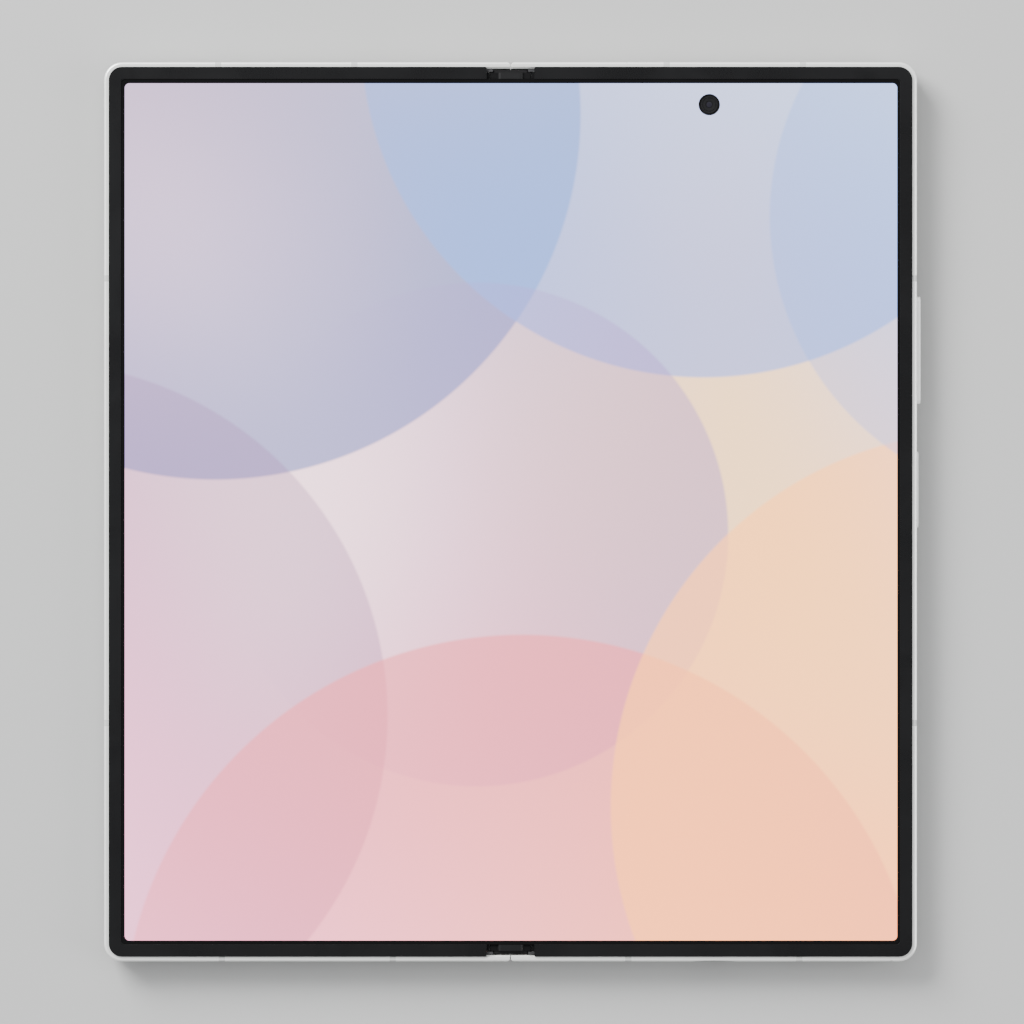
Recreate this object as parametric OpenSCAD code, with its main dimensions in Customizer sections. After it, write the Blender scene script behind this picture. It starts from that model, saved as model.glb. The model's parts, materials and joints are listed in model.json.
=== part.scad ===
// Foldable smartphone that opens like a book, lying on its back, open flat.
// X runs to the right across the seam, Y to the top of the phone, Z towards the person who looks at
// the inner screen. x = 0 is the seam, y = 0 the middle of its height. Sizes are in millimetres.
// Modules work from the back plane; on_table() lifts them so that the camera rings touch z = 0.

/* [Body] */
// Width of the open phone
open_w = 143.2; // [138:0.2:150]
// Height of the phone
open_h = 158.4; // [152:0.2:168]
// Thickness of one half, from its back to the top of the bezel
body_t = 4.2; // [4.1:0.05:4.8]
// Radius of the four outer corners in plan
corner_r = 3.2; // [3.2:0.1:5]
// Radius along the edges of the metal rim
edge_r = 0.4; // [0.2:0.05:0.5]
// Gap between the two halves at the seam
seam_gap = 0.1; // [0.06:0.02:0.2]
// Radius of each half's corner at the seam
seam_corner_r = 0.7; // [0.3:0.1:1]

/* [Rim, bezel and covers] */
// Width of the metal rim that shows round the bezel
rim_w = 0.84; // [0.7:0.02:0.9]
// Height of the bezel's top over the rim
rim_drop = 0.3; // [0.2:0.05:0.4]
// Width of the soft bezel
bezel_w = 2; // [1.6:0.05:2.2]
// Height of the bezel over the screen
bezel_rise = 0.2; // [0.1:0.05:0.25]
// Half width of the part of the seam that the bezel leaves free
bezel_stop = 4.2; // [4.1:0.1:4.6]
// Thickness of the glass on each back
cover_t = 0.4; // [0.3:0.02:0.45]
// Width of the plastic antenna bands
band_w = 1.1; // [0.8:0.1:1.5]

/* [Inner screen] */
// Thickness of the flexible screen
screen_t = 0.5; // [0.4:0.05:0.55]
// Thickness of the metal plate and of the frame deck under the screen
plate_t = 0.25; // [0.2:0.01:0.28]
// Gap round the screen
screen_gap = 0.06; // [0.04:0.01:0.1]
// Half width of the zone of the screen that bends
fold_zone = 8.6; // [8:0.1:8.6]
// Inner camera from the seam
inner_cam_x = 35; // [30:0.5:45]
// Inner camera below the top edge
inner_cam_drop = 7.5; // [7.2:0.1:7.6]
// Radius of the inner camera's hole in the screen
inner_cam_r = 1.9; // [1.4:0.05:2.2]

/* [Hinge] */
// Gap between the two bezels when the phone is shut
shut_gap = 0.5; // [0.4:0.05:0.7]
// Depth of the two fold axes below the top of the bezel
pivot_drop = 1; // [0.9:0.05:1.1]
// Wall of the spine cover
spine_t = 0.45; // [0.35:0.05:0.5]
// Gap between the spine and the back of a half
spine_gap = 0.13; // [0.1:0.01:0.16]
// Metal floor of each half behind the spine
floor_t = 0.2; // [0.16:0.01:0.22]
// from the top edge to the middle of a hinge bracket
bracket_end = 35.2; // [23:1:43]
// Length of one hinge bracket
bracket_len = 26; // [25:0.5:30]
// Width of the fixed arms
arm_w = 2.8; // [2:0.1:2.9]
// Width of the flat cable that crosses the hinge
cable_w = 16; // [10:1:24]

/* [Synchronising gears] */
// Pitch radius of the four gears of a bracket
gear_r = 0.6; // [0.56:0.01:0.62]
// Teeth of each gear
gear_teeth = 8; // [8:2:10]
// Width of the gears and of the swing arms
gear_w = 2.2; // [1.6:0.1:2.3]
// Radius of the gear shafts
shaft_r = 0.22; // [0.18:0.01:0.24]

/* [Cameras] */
// Height of the camera island over the back
island_rise = 1.1; // [0.8:0.1:1.4]
// Height of the lens rings over the island
ring_rise = 0.9; // [0.5:0.1:1.1]
// Width of the camera island
island_w = 20; // [18:0.5:21]
// Distance between two rear lenses
lens_step = 18.6; // [17.2:0.1:19.2]
// Distance of the island from the outer edges
island_edge = 3.2; // [2.9:0.1:4]
// Outer radius of a lens ring
ring_r = 8; // [7.4:0.1:8.4]
// Radius of the glass over a rear lens
lens_r = 6; // [5.6:0.1:6.4]

/* [Keys, port and card] */
// Length of the volume key
volume_len = 18.9; // [16:0.1:22]
// Middle of the volume key above the middle of the phone
volume_y = 28.5; // [27.5:0.1:29.5]
// Length of the side key
side_len = 13.4; // [11:0.1:15]
// Middle of the side key above the middle of the phone
side_y = 3.9; // [1:0.1:5]
// Width of both keys across the edge
key_w = 1.9; // [1.5:0.1:2.1]
// How far the volume key stands out
volume_rise = 0.65; // [0.4:0.05:0.8]
// How far the side key stands out
side_rise = 0.3; // [0.28:0.02:0.5]
// Inner width of the charging port
port_w = 8.34; // [8.3:0.01:8.4]
// Inner height of the charging port
port_h = 2.56; // [2.5:0.01:2.6]
// Middle of the card tray above the middle of the phone
tray_y = 54; // [52:0.5:58]

/* [Hidden] */
$fn = 64;

// clearances
seat = 0.02;            // between pieces that are glued or pressed together
run = 0.03;             // round a pin or a sliding tongue
slack = 0.05;           // between an inner piece and the deck or wall beside it
eps = 0.01;             // how far a cut runs past what it cuts
far = 200;              // longer than anything here

// plan
half_w = open_w / 2;
half_h = open_h / 2;
seam_x = seam_gap / 2;
wall_w = rim_w + bezel_w + screen_gap;
inner_x = half_w - wall_w;
bracket_y = half_h - bracket_end;
inner_y = half_h - wall_w;

// heights from the back plane
bump = island_rise + ring_rise;
rim_top = body_t - rim_drop;
screen_top = body_t - bezel_rise;
screen_z = screen_top - screen_t;
ledge_z = screen_z - slack;
plate_z = screen_z - plate_t;
deck_z = plate_z - plate_t;
inner_top = deck_z - slack;
floor_z = cover_t + seat;
floor_top = floor_z + floor_t;
mid_z = rim_top / 2;

// hinge
pivot_z = body_t - pivot_drop;
pivot_x = shut_gap / 2 + pivot_drop;
spine_r = pivot_z - floor_top - spine_gap;
bore_r = spine_r - spine_t;
bracket_r = bore_r - seat;
spine_top = pivot_z - 0.1;
end_wall = 1.1;                              // frame wall beyond the spine's ends
spine_y = half_h - end_wall - 0.2;           // where the end caps stop
cap_lid = 0.6;                               // closing disc of an end cap
cap_y = spine_y - 1.6;                       // inner face of an end cap
cap_half_w = 3.6;
cap_crown_w = 2.3;
crown_y = spine_y - 0.55;                    // outer face of the crown and shoulders
cap_band_w = 2.95;                           // low band between the crown and the lid
shell_y = spine_y - cap_lid;
pocket_x = fold_zone + 0.6;                  // outer side of the pocket for the spine and wings
pocket_wall = 1;
lip_w = 0.6;                                 // metal lip along the seam on the back
wing_pivot_x = fold_zone + 0.2;
wing_pin_r = 0.22;
wing_pivot_z = plate_z - 0.1;
wing_t = plate_t - run;
wing_in = 2.4;                               // inner edge of a wing plate
wing_notch = 3.8;                            // notch of a wing plate over a bracket
cable_slot = 6;                              // notch of a wing plate over the flat cable
cable_z = floor_top + 1.5;
cable_t = 0.1;
cable_bed = 1.2;                             // half width of the cable's flat inside the spine
strip_y = cap_y - 0.1;
center_half_w = 2.1;
center_notch_w = 1.7;

// arc arms, measured from the fold axis
tongue_in = 0.9;
tongue_out = 1.4;
arm_bottom = floor_top + 0.33;
arm_top = arm_bottom + 0.5;
neck_w = 0.44;
neck_start = [pivot_x + 0.92, pivot_z - 0.95];
neck_end = [3.5, arm_bottom + 0.25];
arm_roof = pivot_z - 1.05;                   // the arms stay under the folded screen here
foot_in = 5.2;
foot_out = pocket_x - 0.3;
foot_w = 5.2;
exit_x = 2;                                  // where the arms leave the spine
exit_z = floor_top + 0.6;
right_arm_y = -8.7;                          // along a bracket, from its middle
left_arm_y = -4.7;
gear_y = -1;
spring_y = [1.2, 7.2];
bracket_screw_y = [-11.9, 10];
foot_shift = -1;                             // a foot reaches away from the gears

// gears
gear_z = pivot_z - 1;
gear_tip = gear_r + 0.09;
gear_root = gear_r - 0.14;
swing_bottom = floor_top + 0.3;
swing_top = swing_bottom + 0.42;
swing_end = 8.2;
spring_r = 0.56;
screw_r = 0.4;
head_r = 0.75;
head_h = 0.4;

// places of the antenna bands
band_top_x = [27.5, 51.5];
band_bottom_x = [20.75, 50.85];
band_side_y = [41.1, -37.2];

// rear cameras
island_x = half_w - island_edge - island_w / 2;
island_len = 2 * lens_step + island_w;
island_y = half_h - island_edge - island_len / 2;
lens_ys = [for (i = [-1:1]) island_y + i * lens_step];
barrel_r = 5;
flash_r = 2.2;
flash_at = [island_x - island_w / 2 - 4.4, island_y + lens_step];

// inner camera, port, keys
inner_cam = [inner_cam_x, half_h - inner_cam_drop];
cover_cam = [-inner_cam_x - 1, half_h - inner_cam_drop];
port_x = half_w / 2;
port_wall = 0.2;
port_floor = 0.6;                            // back wall of the port's shell
tongue = [6.69, 0.7];                        // the standard port's tongue
port_len = 7;
port_depth = 0.3;                            // the port's mouth behind the rim's face
port_back = -half_h + port_depth + port_len;
port_dip = 0.18;                             // shallow dip of the edge round the port
port_dip_w = 7.9;
key_gap = 0.1;
key_flange_t = 0.25;
key_flange_x = half_w - 1.35;
key_pocket_x = half_w - 2.3;
key_stop_x = half_w - 0.78;
switch_t = 0.5;
tray_w = 14.4;
tray_h = 1.6;
tray_t = 0.8;
tray_len = 19.5;
tray_body_w = 11.4;
card = [12.3, 8.8, 0.67];

// layout inside the halves
room_x = pocket_x + pocket_wall + 0.4;       // first clear place beside the hinge pocket
board_t = 0.6;
board_z = floor_top + 0.7;
board_gap = 3;                               // between a board and the battery beside it
battery_margin = 1;
battery_x = inner_x - battery_margin;
battery_top_y = side_y + 6;
battery_bottom_y = -inner_y + 18.5;
left_battery_top_y = tray_y - 16;
upper_board_y = half_h - inner_cam_drop - 5.7; // upper edge of both upper boards
tray_x = half_w - tray_len;                  // inner end of the card tray
reader_x = tray_x - 1;
left_board_x = reader_x - 2;
main_board_x = half_w - island_edge - island_w - 1;
speaker_w = 16;
speaker_l = 8;
loudspeaker_l = 15;
motor = [10, 14];
port_room = 10;                              // beside the port's middle, clear for the charge board
coil_r = (battery_x - room_x) / 2 - 6.5;
coil_in = 9;
coil_t = 0.34;
coil_y = (battery_bottom_y + battery_top_y) / 2;

// ---------- shared shapes ----------

// Raises a piece from the back plane to the table's frame
module on_table() {
    translate([0, 0, bump]) children();
}

module left_side() {
    mirror([1, 0, 0]) children();
}

module both_ends() {
    children();
    mirror([0, 1, 0]) children();
}

// Plan of one half with its outer corners rounded
module half_plan(inset, from_x) {
    r = max(corner_r - inset, 0.3);
    x1 = half_w - inset;
    y1 = half_h - inset;
    translate([from_x, -y1]) square([x1 - r - from_x, 2 * y1]);
    translate([from_x, -y1 + r]) square([x1 - from_x, 2 * (y1 - r)]);
    for (s = [-1, 1]) translate([x1 - r, s * (y1 - r)]) circle(r = r);
}

// Box with four round corners, from [0, 0] to [w, h]
module round_box(w, h, r) {
    translate([r, 0]) square([w - 2 * r, h]);
    translate([0, r]) square([w, h - 2 * r]);
    for (x = [r, w - r], y = [r, h - r]) translate([x, y]) circle(r = r);
}

// Slot with half-round ends, centred, w long and h across
module pill(w, h) {
    square([w - h, h], center = true);
    for (s = [-1, 1]) translate([s * (w - h) / 2, 0]) circle(d = h);
}

// Runs a profile round the three outer sides of a half: x = 0 is the outer face, -x is inwards
module edge_run(from_x) {
    translate([half_w, half_h - corner_r, 0]) rotate([90, 0, 0])
        linear_extrude(2 * (half_h - corner_r)) children();
    both_ends() {
        translate([from_x, half_h, 0]) rotate([90, 0, 90])
            linear_extrude(half_w - corner_r - from_x) children();
        translate([half_w - corner_r, half_h - corner_r, 0])
            rotate_extrude(angle = 90) translate([corner_r, 0]) children();
    }
}

// Extrudes a shape drawn in the X-Z plane from y0 to y1
module along_y(y0, y1) {
    translate([0, y1, 0]) rotate([90, 0, 0]) linear_extrude(y1 - y0) children();
}

// Cylinder along Y
module rod(x, z, r, y0, y1) {
    along_y(y0, y1) translate([x, z]) circle(r = r);
}

// Cross-section of the spine: two circles about the fold axes and the block between them
module stadium(r, top) {
    difference() {
        union() {
            for (s = [-1, 1]) translate([s * pivot_x, pivot_z]) circle(r = r);
            translate([-pivot_x, pivot_z - r]) square([2 * pivot_x, r]);
        }
        translate([-far / 2, top]) square([far, far]);
    }
}

module box_at(x0, x1, y0, y1, z0, z1) {
    translate([x0, y0, z0]) cube([x1 - x0, y1 - y0, z1 - z0]);
}

// Strip of width w along the line from a to b, in 2D
module strip(a, b, w) {
    d = b - a;
    l = norm(d);
    translate(a) rotate(atan2(d[1], d[0])) translate([0, -w / 2]) square([l, w]);
}

// Places its children at both brackets; the lower one mirrors the upper one
module at_brackets() {
    both_ends() translate([0, bracket_y, 0]) children();
}

// ---------- frames ----------

module wall_profile() {
    difference() {
        union() {
            translate([-2 * rim_w, 0]) round_box(2 * rim_w, rim_top, edge_r);
            translate([-wall_w, cover_t]) square([wall_w - edge_r, ledge_z - cover_t]);
        }
        translate([-2 * rim_w - eps, ledge_z]) square([rim_w + eps, far]);
        translate([-2 * rim_w - eps, -far]) square([rim_w + eps, far + cover_t]);
    }
}

// Takes away what would strike the other half while folding
module seam_relief() {
    difference() {
        along_y(-half_h - 1, half_h + 1) translate([-1, pivot_z]) square([pivot_x + 1, far]);
        rod(pivot_x, pivot_z, pivot_x - seam_x, -far, far);
    }
    both_ends() difference() {
        translate([0, half_h - seam_corner_r, -1]) cube([seam_x + seam_corner_r, far, far]);
        translate([seam_x + seam_corner_r, half_h - seam_corner_r, -2])
            cylinder(r = seam_corner_r, h = far);
    }
}

module wing_bores() {
    both_ends() rod(wing_pivot_x, wing_pivot_z, wing_pin_r + run, strip_y, inner_y + 0.8);
}

// Screw places of the arm feet on the right half's side; arm_y is right_arm_y or left_arm_y
module at_feet(arm_y) {
    at_brackets() translate([(foot_in + foot_out) / 2, arm_y + foot_shift, 0]) children();
}

module band_cuts(w) {
    for (x = band_top_x) box_at(x - w / 2, x + w / 2, half_h - rim_w, half_h + 1, -1, rim_top + 1);
    for (x = band_bottom_x)
        box_at(x - w / 2, x + w / 2, -half_h - 1, -half_h + rim_w, -1, rim_top + 1);
    for (y = band_side_y)
        box_at(half_w - rim_w, half_w + 1, y - w / 2, y + w / 2, -1, rim_top + 1);
}

module frame_half(arm_y) {
    difference() {
        union() {
            edge_run(seam_x) wall_profile();
            translate([0, 0, deck_z]) linear_extrude(plate_t) half_plan(wall_w - 0.1, pocket_x);
            box_at(pocket_x, pocket_x + pocket_wall, -inner_y, inner_y, floor_z, plate_z);
            box_at(seam_x, pocket_x + pocket_wall, -half_h + rim_w, half_h - rim_w,
                floor_z, floor_top);
            box_at(seam_x, seam_x + lip_w, -half_h + rim_w, half_h - rim_w, 0, floor_top);
        }
        // room for the spine and its end caps
        box_at(-1, bezel_stop, -half_h + end_wall, half_h - end_wall, floor_top, far);
        seam_relief();
        wing_bores();
        band_cuts(band_w);
        at_feet(arm_y) cylinder(r = screw_r, h = 2);
    }
}

module antenna_bands(port_side) {
    intersection() {
        difference() {
            edge_run(seam_x) wall_profile();
            if (port_side) port_cut();
        }
        band_cuts(band_w);
    }
}

module port_cut() {
    translate([port_x, -half_h - 1, mid_z]) rotate([-90, 0, 0])
        linear_extrude(wall_w + 1 + slack)
            pill(port_w + 2 * port_wall + 2 * seat, port_h + 2 * port_wall + 2 * seat);
    // room under the screen for the back of the port
    box_at(port_x - port_w / 2 - 0.5, port_x + port_w / 2 + 0.5, -inner_y - slack,
        port_back + 0.5, floor_z, far);
    // shallow dip of the edge
    dip_r = (pow(port_dip_w / 2, 2) + port_dip * port_dip) / (2 * port_dip);
    translate([port_x, -half_h + port_dip - dip_r, -1]) cylinder(r = dip_r, h = far, $fn = 256);
}

// Slot of a key through the wall and the wider pocket for its flange
module key_cut(y, len) {
    translate([key_stop_x - eps, y, mid_z]) rotate([90, 0, 90])
        linear_extrude(3) pill(len + 2 * key_gap, key_w + 2 * key_gap);
    box_at(key_pocket_x, key_stop_x, y - len / 2 - 1, y + len / 2 + 1, mid_z - 1.35, mid_z + 1.35);
}

module grille_cuts(x0, count, y) {
    for (i = [0:count - 1]) translate([x0 + i * 2.6, y, mid_z]) rotate([90, 0, 0])
        translate([0, 0, -3]) linear_extrude(6) pill(1.9, 0.9);
}

module right_frame() {
    color("silver") on_table() difference() {
        frame_half(right_arm_y);
        port_cut();
        key_cut(volume_y, volume_len);
        key_cut(side_y, side_len);
        // channel for the strip that joins the switches
        box_at(key_pocket_x, key_pocket_x + 0.3, side_y, volume_y, mid_z - 1, mid_z + 1);
        grille_cuts(port_x + 9, 4, -half_h);
        translate([inner_cam[0], inner_cam[1], deck_z - 1]) cylinder(r = inner_cam_r + 0.5, h = 2);
    }
}

module left_frame() {
    color("silver") on_table() left_side() difference() {
        frame_half(left_arm_y);
        tray_cut();
        grille_cuts(20, 3, half_h);
        grille_cuts(30, 4, -half_h);
    }
}

module left_antenna_bands() {
    color("lightgray") on_table() left_side() antenna_bands(false);
}

module right_antenna_bands() {
    color("lightgray") on_table() antenna_bands(true);
}

// ---------- covers and bezels ----------

module back_plate() {
    linear_extrude(cover_t) half_plan(rim_w + seat, seam_x + lip_w + seat);
}

module cover_glass() {
    color("black") on_table() left_side() back_plate();
}

module cover_display() {
    color("#101014") on_table() left_side() difference() {
        translate([0, 0, cover_t]) linear_extrude(0.5)
            half_plan(wall_w + slack, pocket_x + pocket_wall + slack);
        translate([-cover_cam[0], cover_cam[1], 0]) cylinder(r = inner_cam_r + 0.6, h = far);
    }
}

module rear_glass() {
    color("silver") on_table() difference() {
        back_plate();
        for (y = lens_ys) translate([island_x, y, -1]) cylinder(r = barrel_r + 0.2, h = 3);
        translate([flash_at[0], flash_at[1], -1]) cylinder(r = flash_r + seat, h = 3);
    }
}

module bezel_profile() {
    translate([-rim_w - seat - bezel_w, ledge_z]) round_box(bezel_w, body_t - ledge_z, 0.3);
}

// A half's bezel, with a low step and a small tab at each end beside the spine's cap
module bezel() {
    edge_run(bezel_stop) bezel_profile();
    both_ends() {
        box_at(bezel_stop - 0.45, bezel_stop + 0.1, half_h - rim_w - seat - bezel_w, crown_y,
            screen_z, screen_z + 0.2);
        box_at(bezel_stop - 1.1, bezel_stop + 0.1, spine_y - 0.4, spine_y + slack,
            screen_z, screen_z + 0.25);
    }
}

module left_bezel() {
    color("#202022") on_table() left_side() bezel();
}

module right_bezel() {
    color("#202022") on_table() bezel();
}

// ---------- inner screen ----------

module screen_half() {
    translate([0, 0, screen_z]) linear_extrude(screen_t)
        half_plan(wall_w + screen_gap, fold_zone);
}

module main_display_left() {
    color("lightsteelblue") on_table() left_side() screen_half();
}

module main_display_right() {
    color("lightsteelblue") on_table() difference() {
        screen_half();
        translate([inner_cam[0], inner_cam[1], 0]) cylinder(r = inner_cam_r, h = far);
    }
}

module display_fold_strip() {
    color("lightsteelblue") on_table()
        box_at(-fold_zone, fold_zone, -strip_y, strip_y, screen_z, screen_top);
}

module plate_half() {
    translate([0, 0, plate_z]) linear_extrude(plate_t)
        half_plan(wall_w + slack, pocket_x);
}

module left_display_plate() {
    color("dimgray") on_table() left_side() plate_half();
}

module right_display_plate() {
    color("dimgray") on_table() difference() {
        plate_half();
        translate([inner_cam[0], inner_cam[1], 0]) cylinder(r = inner_cam_r + 0.5, h = far);
        box_at(port_x - port_w / 2 - 0.5, port_x + port_w / 2 + 0.5, -half_h,
            port_back + 0.5, 0, far);
    }
}

module center_support_plate() {
    color("dimgray") on_table() difference() {
        box_at(-center_half_w, center_half_w, -strip_y, strip_y, plate_z, screen_z);
        for (s = [-1, 1], t = [-1, 1])
            box_at(min(s * center_notch_w, s * far), max(s * center_notch_w, s * far),
                t * bracket_y - bracket_len / 2, t * bracket_y + bracket_len / 2, 0, far);
    }
}

module wing_plate() {
    difference() {
        union() {
            box_at(wing_in, wing_pivot_x, -strip_y, strip_y, plate_z, plate_z + wing_t);
            rod(wing_pivot_x, wing_pivot_z, wing_pin_r, -inner_y - 0.7, inner_y + 0.7);
        }
        at_brackets() box_at(0, wing_notch, -bracket_len / 2, bracket_len / 2, 0, far);
        box_at(0, cable_slot, -cable_w / 2 - 0.5, cable_w / 2 + 0.5, 0, far);
    }
}

module left_wing_plate() {
    color("gray") on_table() left_side() wing_plate();
}

module right_wing_plate() {
    color("gray") on_table() wing_plate();
}

// ---------- hinge spine ----------

// Openings in one side of the spine for the arms that leave it there
module arm_exits(arm_y) {
    at_brackets() for (y = [arm_y, gear_y]) {
        w = (y == gear_y ? gear_w : arm_w) + 0.2;
        box_at(exit_x, far, y - w / 2, y + w / 2, exit_z, far);
    }
}

module hinge_spine() {
    color("silver") on_table() difference() {
        along_y(-shell_y, shell_y) difference() {
            stadium(spine_r, spine_top);
            stadium(bore_r, far);
        }
        arm_exits(right_arm_y);
        left_side() arm_exits(left_arm_y);
        at_brackets() for (y = bracket_screw_y) translate([0, y, 0]) cylinder(r = screw_r, h = 2);
    }
}

module end_cap() {
    along_y(shell_y, spine_y) stadium(spine_r, spine_top);
    along_y(cap_y, shell_y + eps) stadium(bracket_r, spine_top);
    along_y(cap_y, crown_y) {
        translate([-cap_crown_w, spine_top - 0.7])
            round_box(2 * cap_crown_w, body_t - spine_top + 0.6, 0.8);
        translate([-cap_half_w, spine_top]) round_box(2 * cap_half_w, 0.5, 0.2);
    }
    box_at(-cap_band_w, cap_band_w, crown_y - eps, spine_y - slack, spine_top - eps, ledge_z);
}

module hinge_end_cap_top() {
    color("#18181a") on_table() end_cap();
}

module hinge_end_cap_bottom() {
    color("#18181a") on_table() mirror([0, 1, 0]) end_cap();
}

// Track of a fixed arm in a bracket, on the right side
module arm_track(y) {
    along_y(y - arm_w / 2 - 0.1, y + arm_w / 2 + 0.1) {
        difference() {
            translate([pivot_x, pivot_z]) circle(r = tongue_out + slack);
            translate([pivot_x, pivot_z]) circle(r = tongue_in - slack);
        }
        translate([exit_x, exit_z]) square(far);
    }
}

module bracket() {
    difference() {
        along_y(-bracket_len / 2, bracket_len / 2) {
            stadium(bracket_r, spine_top);
            translate([-1, spine_top - eps]) square([2, plate_z - spine_top + eps]);
        }
        arm_track(right_arm_y);
        left_side() arm_track(left_arm_y);
        // bay for the gears and swing arms
        along_y(gear_y - gear_w / 2 - 0.1, gear_y + gear_w / 2 + 0.1) {
            translate([-far / 2, gear_z - gear_tip - 0.1]) square(far);
            for (s = [0, 1]) mirror([s, 0]) translate([exit_x, exit_z]) square(far);
        }
        for (x = [-3, -1, 1, 3] * gear_r)
            rod(x, gear_z, shaft_r, gear_y - gear_w / 2 - 1, spring_y[1] + 0.8);
        for (s = [-3, 3]) rod(s * gear_r, gear_z, spring_r + run, spring_y[0], spring_y[1]);
        for (y = bracket_screw_y) {
            translate([0, y, 0]) cylinder(r = screw_r, h = far);
            translate([0, y, gear_z]) cylinder(r = head_r + slack, h = far);
        }
    }
}

module hinge_bracket_upper() {
    color("slategray") on_table() translate([0, bracket_y, 0]) bracket();
}

module hinge_bracket_lower() {
    color("slategray") on_table() mirror([0, 1, 0]) translate([0, bracket_y, 0]) bracket();
}

module gear_shafts() {
    color("silver") on_table() at_brackets() for (x = [-3, -1, 1, 3] * gear_r)
        rod(x, gear_z, shaft_r, gear_y - gear_w / 2 - 1, spring_y[1] + 0.8);
}

module hinge_springs() {
    color("gray") on_table() at_brackets() for (s = [-3, 3])
        along_y(spring_y[0] + slack, spring_y[1] - slack) translate([s * gear_r, gear_z])
            difference() {
                circle(r = spring_r);
                circle(r = shaft_r + run);
            }
}

module small_screw(bottom, top) {
    translate([0, 0, bottom]) cylinder(r = screw_r, h = top - bottom);
    translate([0, 0, top]) difference() {
        cylinder(r = head_r, h = head_h);
        for (a = [0, 90]) rotate(a) translate([-0.4, -0.09, head_h - 0.2]) cube([0.8, 0.18, 1]);
    }
}

module hinge_screws() {
    color("darkgray") on_table() at_brackets()
        for (y = bracket_screw_y) translate([0, y, 0])
            small_screw(pivot_z - spine_r + 0.1, gear_z);
}

// Flat cable from half to half: down into the spine, over its edges and to both pocket walls
// Normal of a route's segment, and the mitre at one of its points
function seg_normal(a, b) = [a[1] - b[1], b[0] - a[0]] / norm(b - a);
function mitre(route, i) =
    let (
        last = len(route) - 1,
        before = seg_normal(route[max(i, 1) - 1], route[max(i, 1)]),
        after = seg_normal(route[min(i, last - 1)], route[min(i, last - 1) + 1])
    )
    (before + after) / (1 + before * after);

// Band of even thickness along a route
module ribbon(route, t) {
    last = len(route) - 1;
    polygon(concat(
        [for (i = [0:last]) route[i] + mitre(route, i) * t / 2],
        [for (i = [last:-1:0]) route[i] - mitre(route, i) * t / 2]
    ));
}

module hinge_flex_cable() {
    bed_z = pivot_z - bore_r + 0.1;
    brim_z = spine_top + cable_t / 2 + seat;
    run_out = [
        [cable_bed, bed_z], [bore_r, brim_z], [spine_r + pivot_x + 0.3, brim_z],
        [cable_slot, cable_z], [pocket_x - seat, cable_z]
    ];
    run_in = [for (i = [len(run_out) - 1:-1:0]) [-run_out[i][0], run_out[i][1]]];
    color("peru") on_table() along_y(-cable_w / 2, cable_w / 2)
        ribbon(concat(run_in, run_out), cable_t);
}

// ---------- arms and gears ----------

module arc_arm(y) {
    along_y(y - arm_w / 2, y + arm_w / 2) {
        difference() {
            translate([pivot_x, pivot_z]) difference() {
                circle(r = tongue_out);
                circle(r = tongue_in);
            }
            // open above the fold axis, and under the folded screen on the outer side
            translate([pivot_x - far / 2, pivot_z - 0.3]) square(far);
            translate([pivot_x, arm_roof]) square(far);
        }
        strip(neck_start, neck_end, neck_w);
        translate([neck_end[0] - 0.2, arm_bottom]) square([foot_in - neck_end[0] + 0.3, 0.5]);
    }
    difference() {
        box_at(foot_in, foot_out, y + foot_shift - foot_w / 2, y + foot_shift + foot_w / 2,
            floor_top, arm_top);
        translate([(foot_in + foot_out) / 2, y + foot_shift, 0]) cylinder(r = screw_r, h = 3);
    }
}

module right_hinge_arms() {
    color("gray") on_table() at_brackets() arc_arm(right_arm_y);
}

module left_hinge_arms() {
    color("gray") on_table() left_side() at_brackets() arc_arm(left_arm_y);
}

function gear_points(tip, root, n, phase) = [
    for (i = [0:n - 1], k = [[root, -0.3], [tip, -0.1], [tip, 0.1], [root, 0.3]])
        let (a = phase + (i + k[1]) * 360 / n) k[0] * [cos(a), sin(a)]
];

module gear_2d(phase) {
    difference() {
        polygon(gear_points(gear_tip, gear_root, gear_teeth, phase));
        circle(r = shaft_r + run);
    }
}

// Outer gear with the swing arm that turns with the half
module swing_arm(phase) {
    along_y(gear_y - gear_w / 2, gear_y + gear_w / 2) {
        translate([3 * gear_r, gear_z]) gear_2d(phase);
        difference() {
            strip([3 * gear_r, gear_z], [3.5, swing_bottom + 0.2], neck_w);
            translate([3 * gear_r, gear_z]) circle(r = gear_root - 0.02);
        }
        translate([3.35, swing_bottom]) square([swing_end - 3.35, swing_top - swing_bottom]);
    }
}

module left_swing_arm() {
    color("darkgray") on_table() left_side() at_brackets() swing_arm(180 / gear_teeth);
}

module right_swing_arm() {
    color("darkgray") on_table() at_brackets() swing_arm(0);
}

module idler(x, phase) {
    along_y(gear_y - gear_w / 2, gear_y + gear_w / 2) translate([x, gear_z]) gear_2d(phase);
}

module left_idler_gear() {
    color("darkkhaki") on_table() at_brackets() idler(-gear_r, 0);
}

module right_idler_gear() {
    color("darkkhaki") on_table() at_brackets() idler(gear_r, 180 / gear_teeth);
}

// ---------- left half's inside ----------

module battery(y0, y1, z0) {
    translate([room_x, y0, z0]) linear_extrude(inner_top - z0)
        round_box(battery_x - room_x, y1 - y0, 1.5);
    // protection board along the top edge
    box_at(room_x + 4, battery_x - 4, y1 - board_gap / 2, y1 + board_gap / 2, z0 + 0.3, inner_top - 0.3);
}

module left_battery() {
    color("#2b2d31") on_table() left_side()
        battery(battery_bottom_y, left_battery_top_y, cover_t + 0.6);
}

// Board with blocks that stand between it and the deck. A block gives its left, lower, right and
// upper edge as shares of the board.
module board(x0, x1, y0, y1, blocks) {
    box_at(x0, x1, y0, y1, board_z, board_z + board_t);
    for (b = blocks)
        box_at(x0 + b[0] * (x1 - x0), x0 + b[2] * (x1 - x0), y0 + b[1] * (y1 - y0),
            y0 + b[3] * (y1 - y0), board_z + board_t - eps, inner_top);
}

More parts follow.
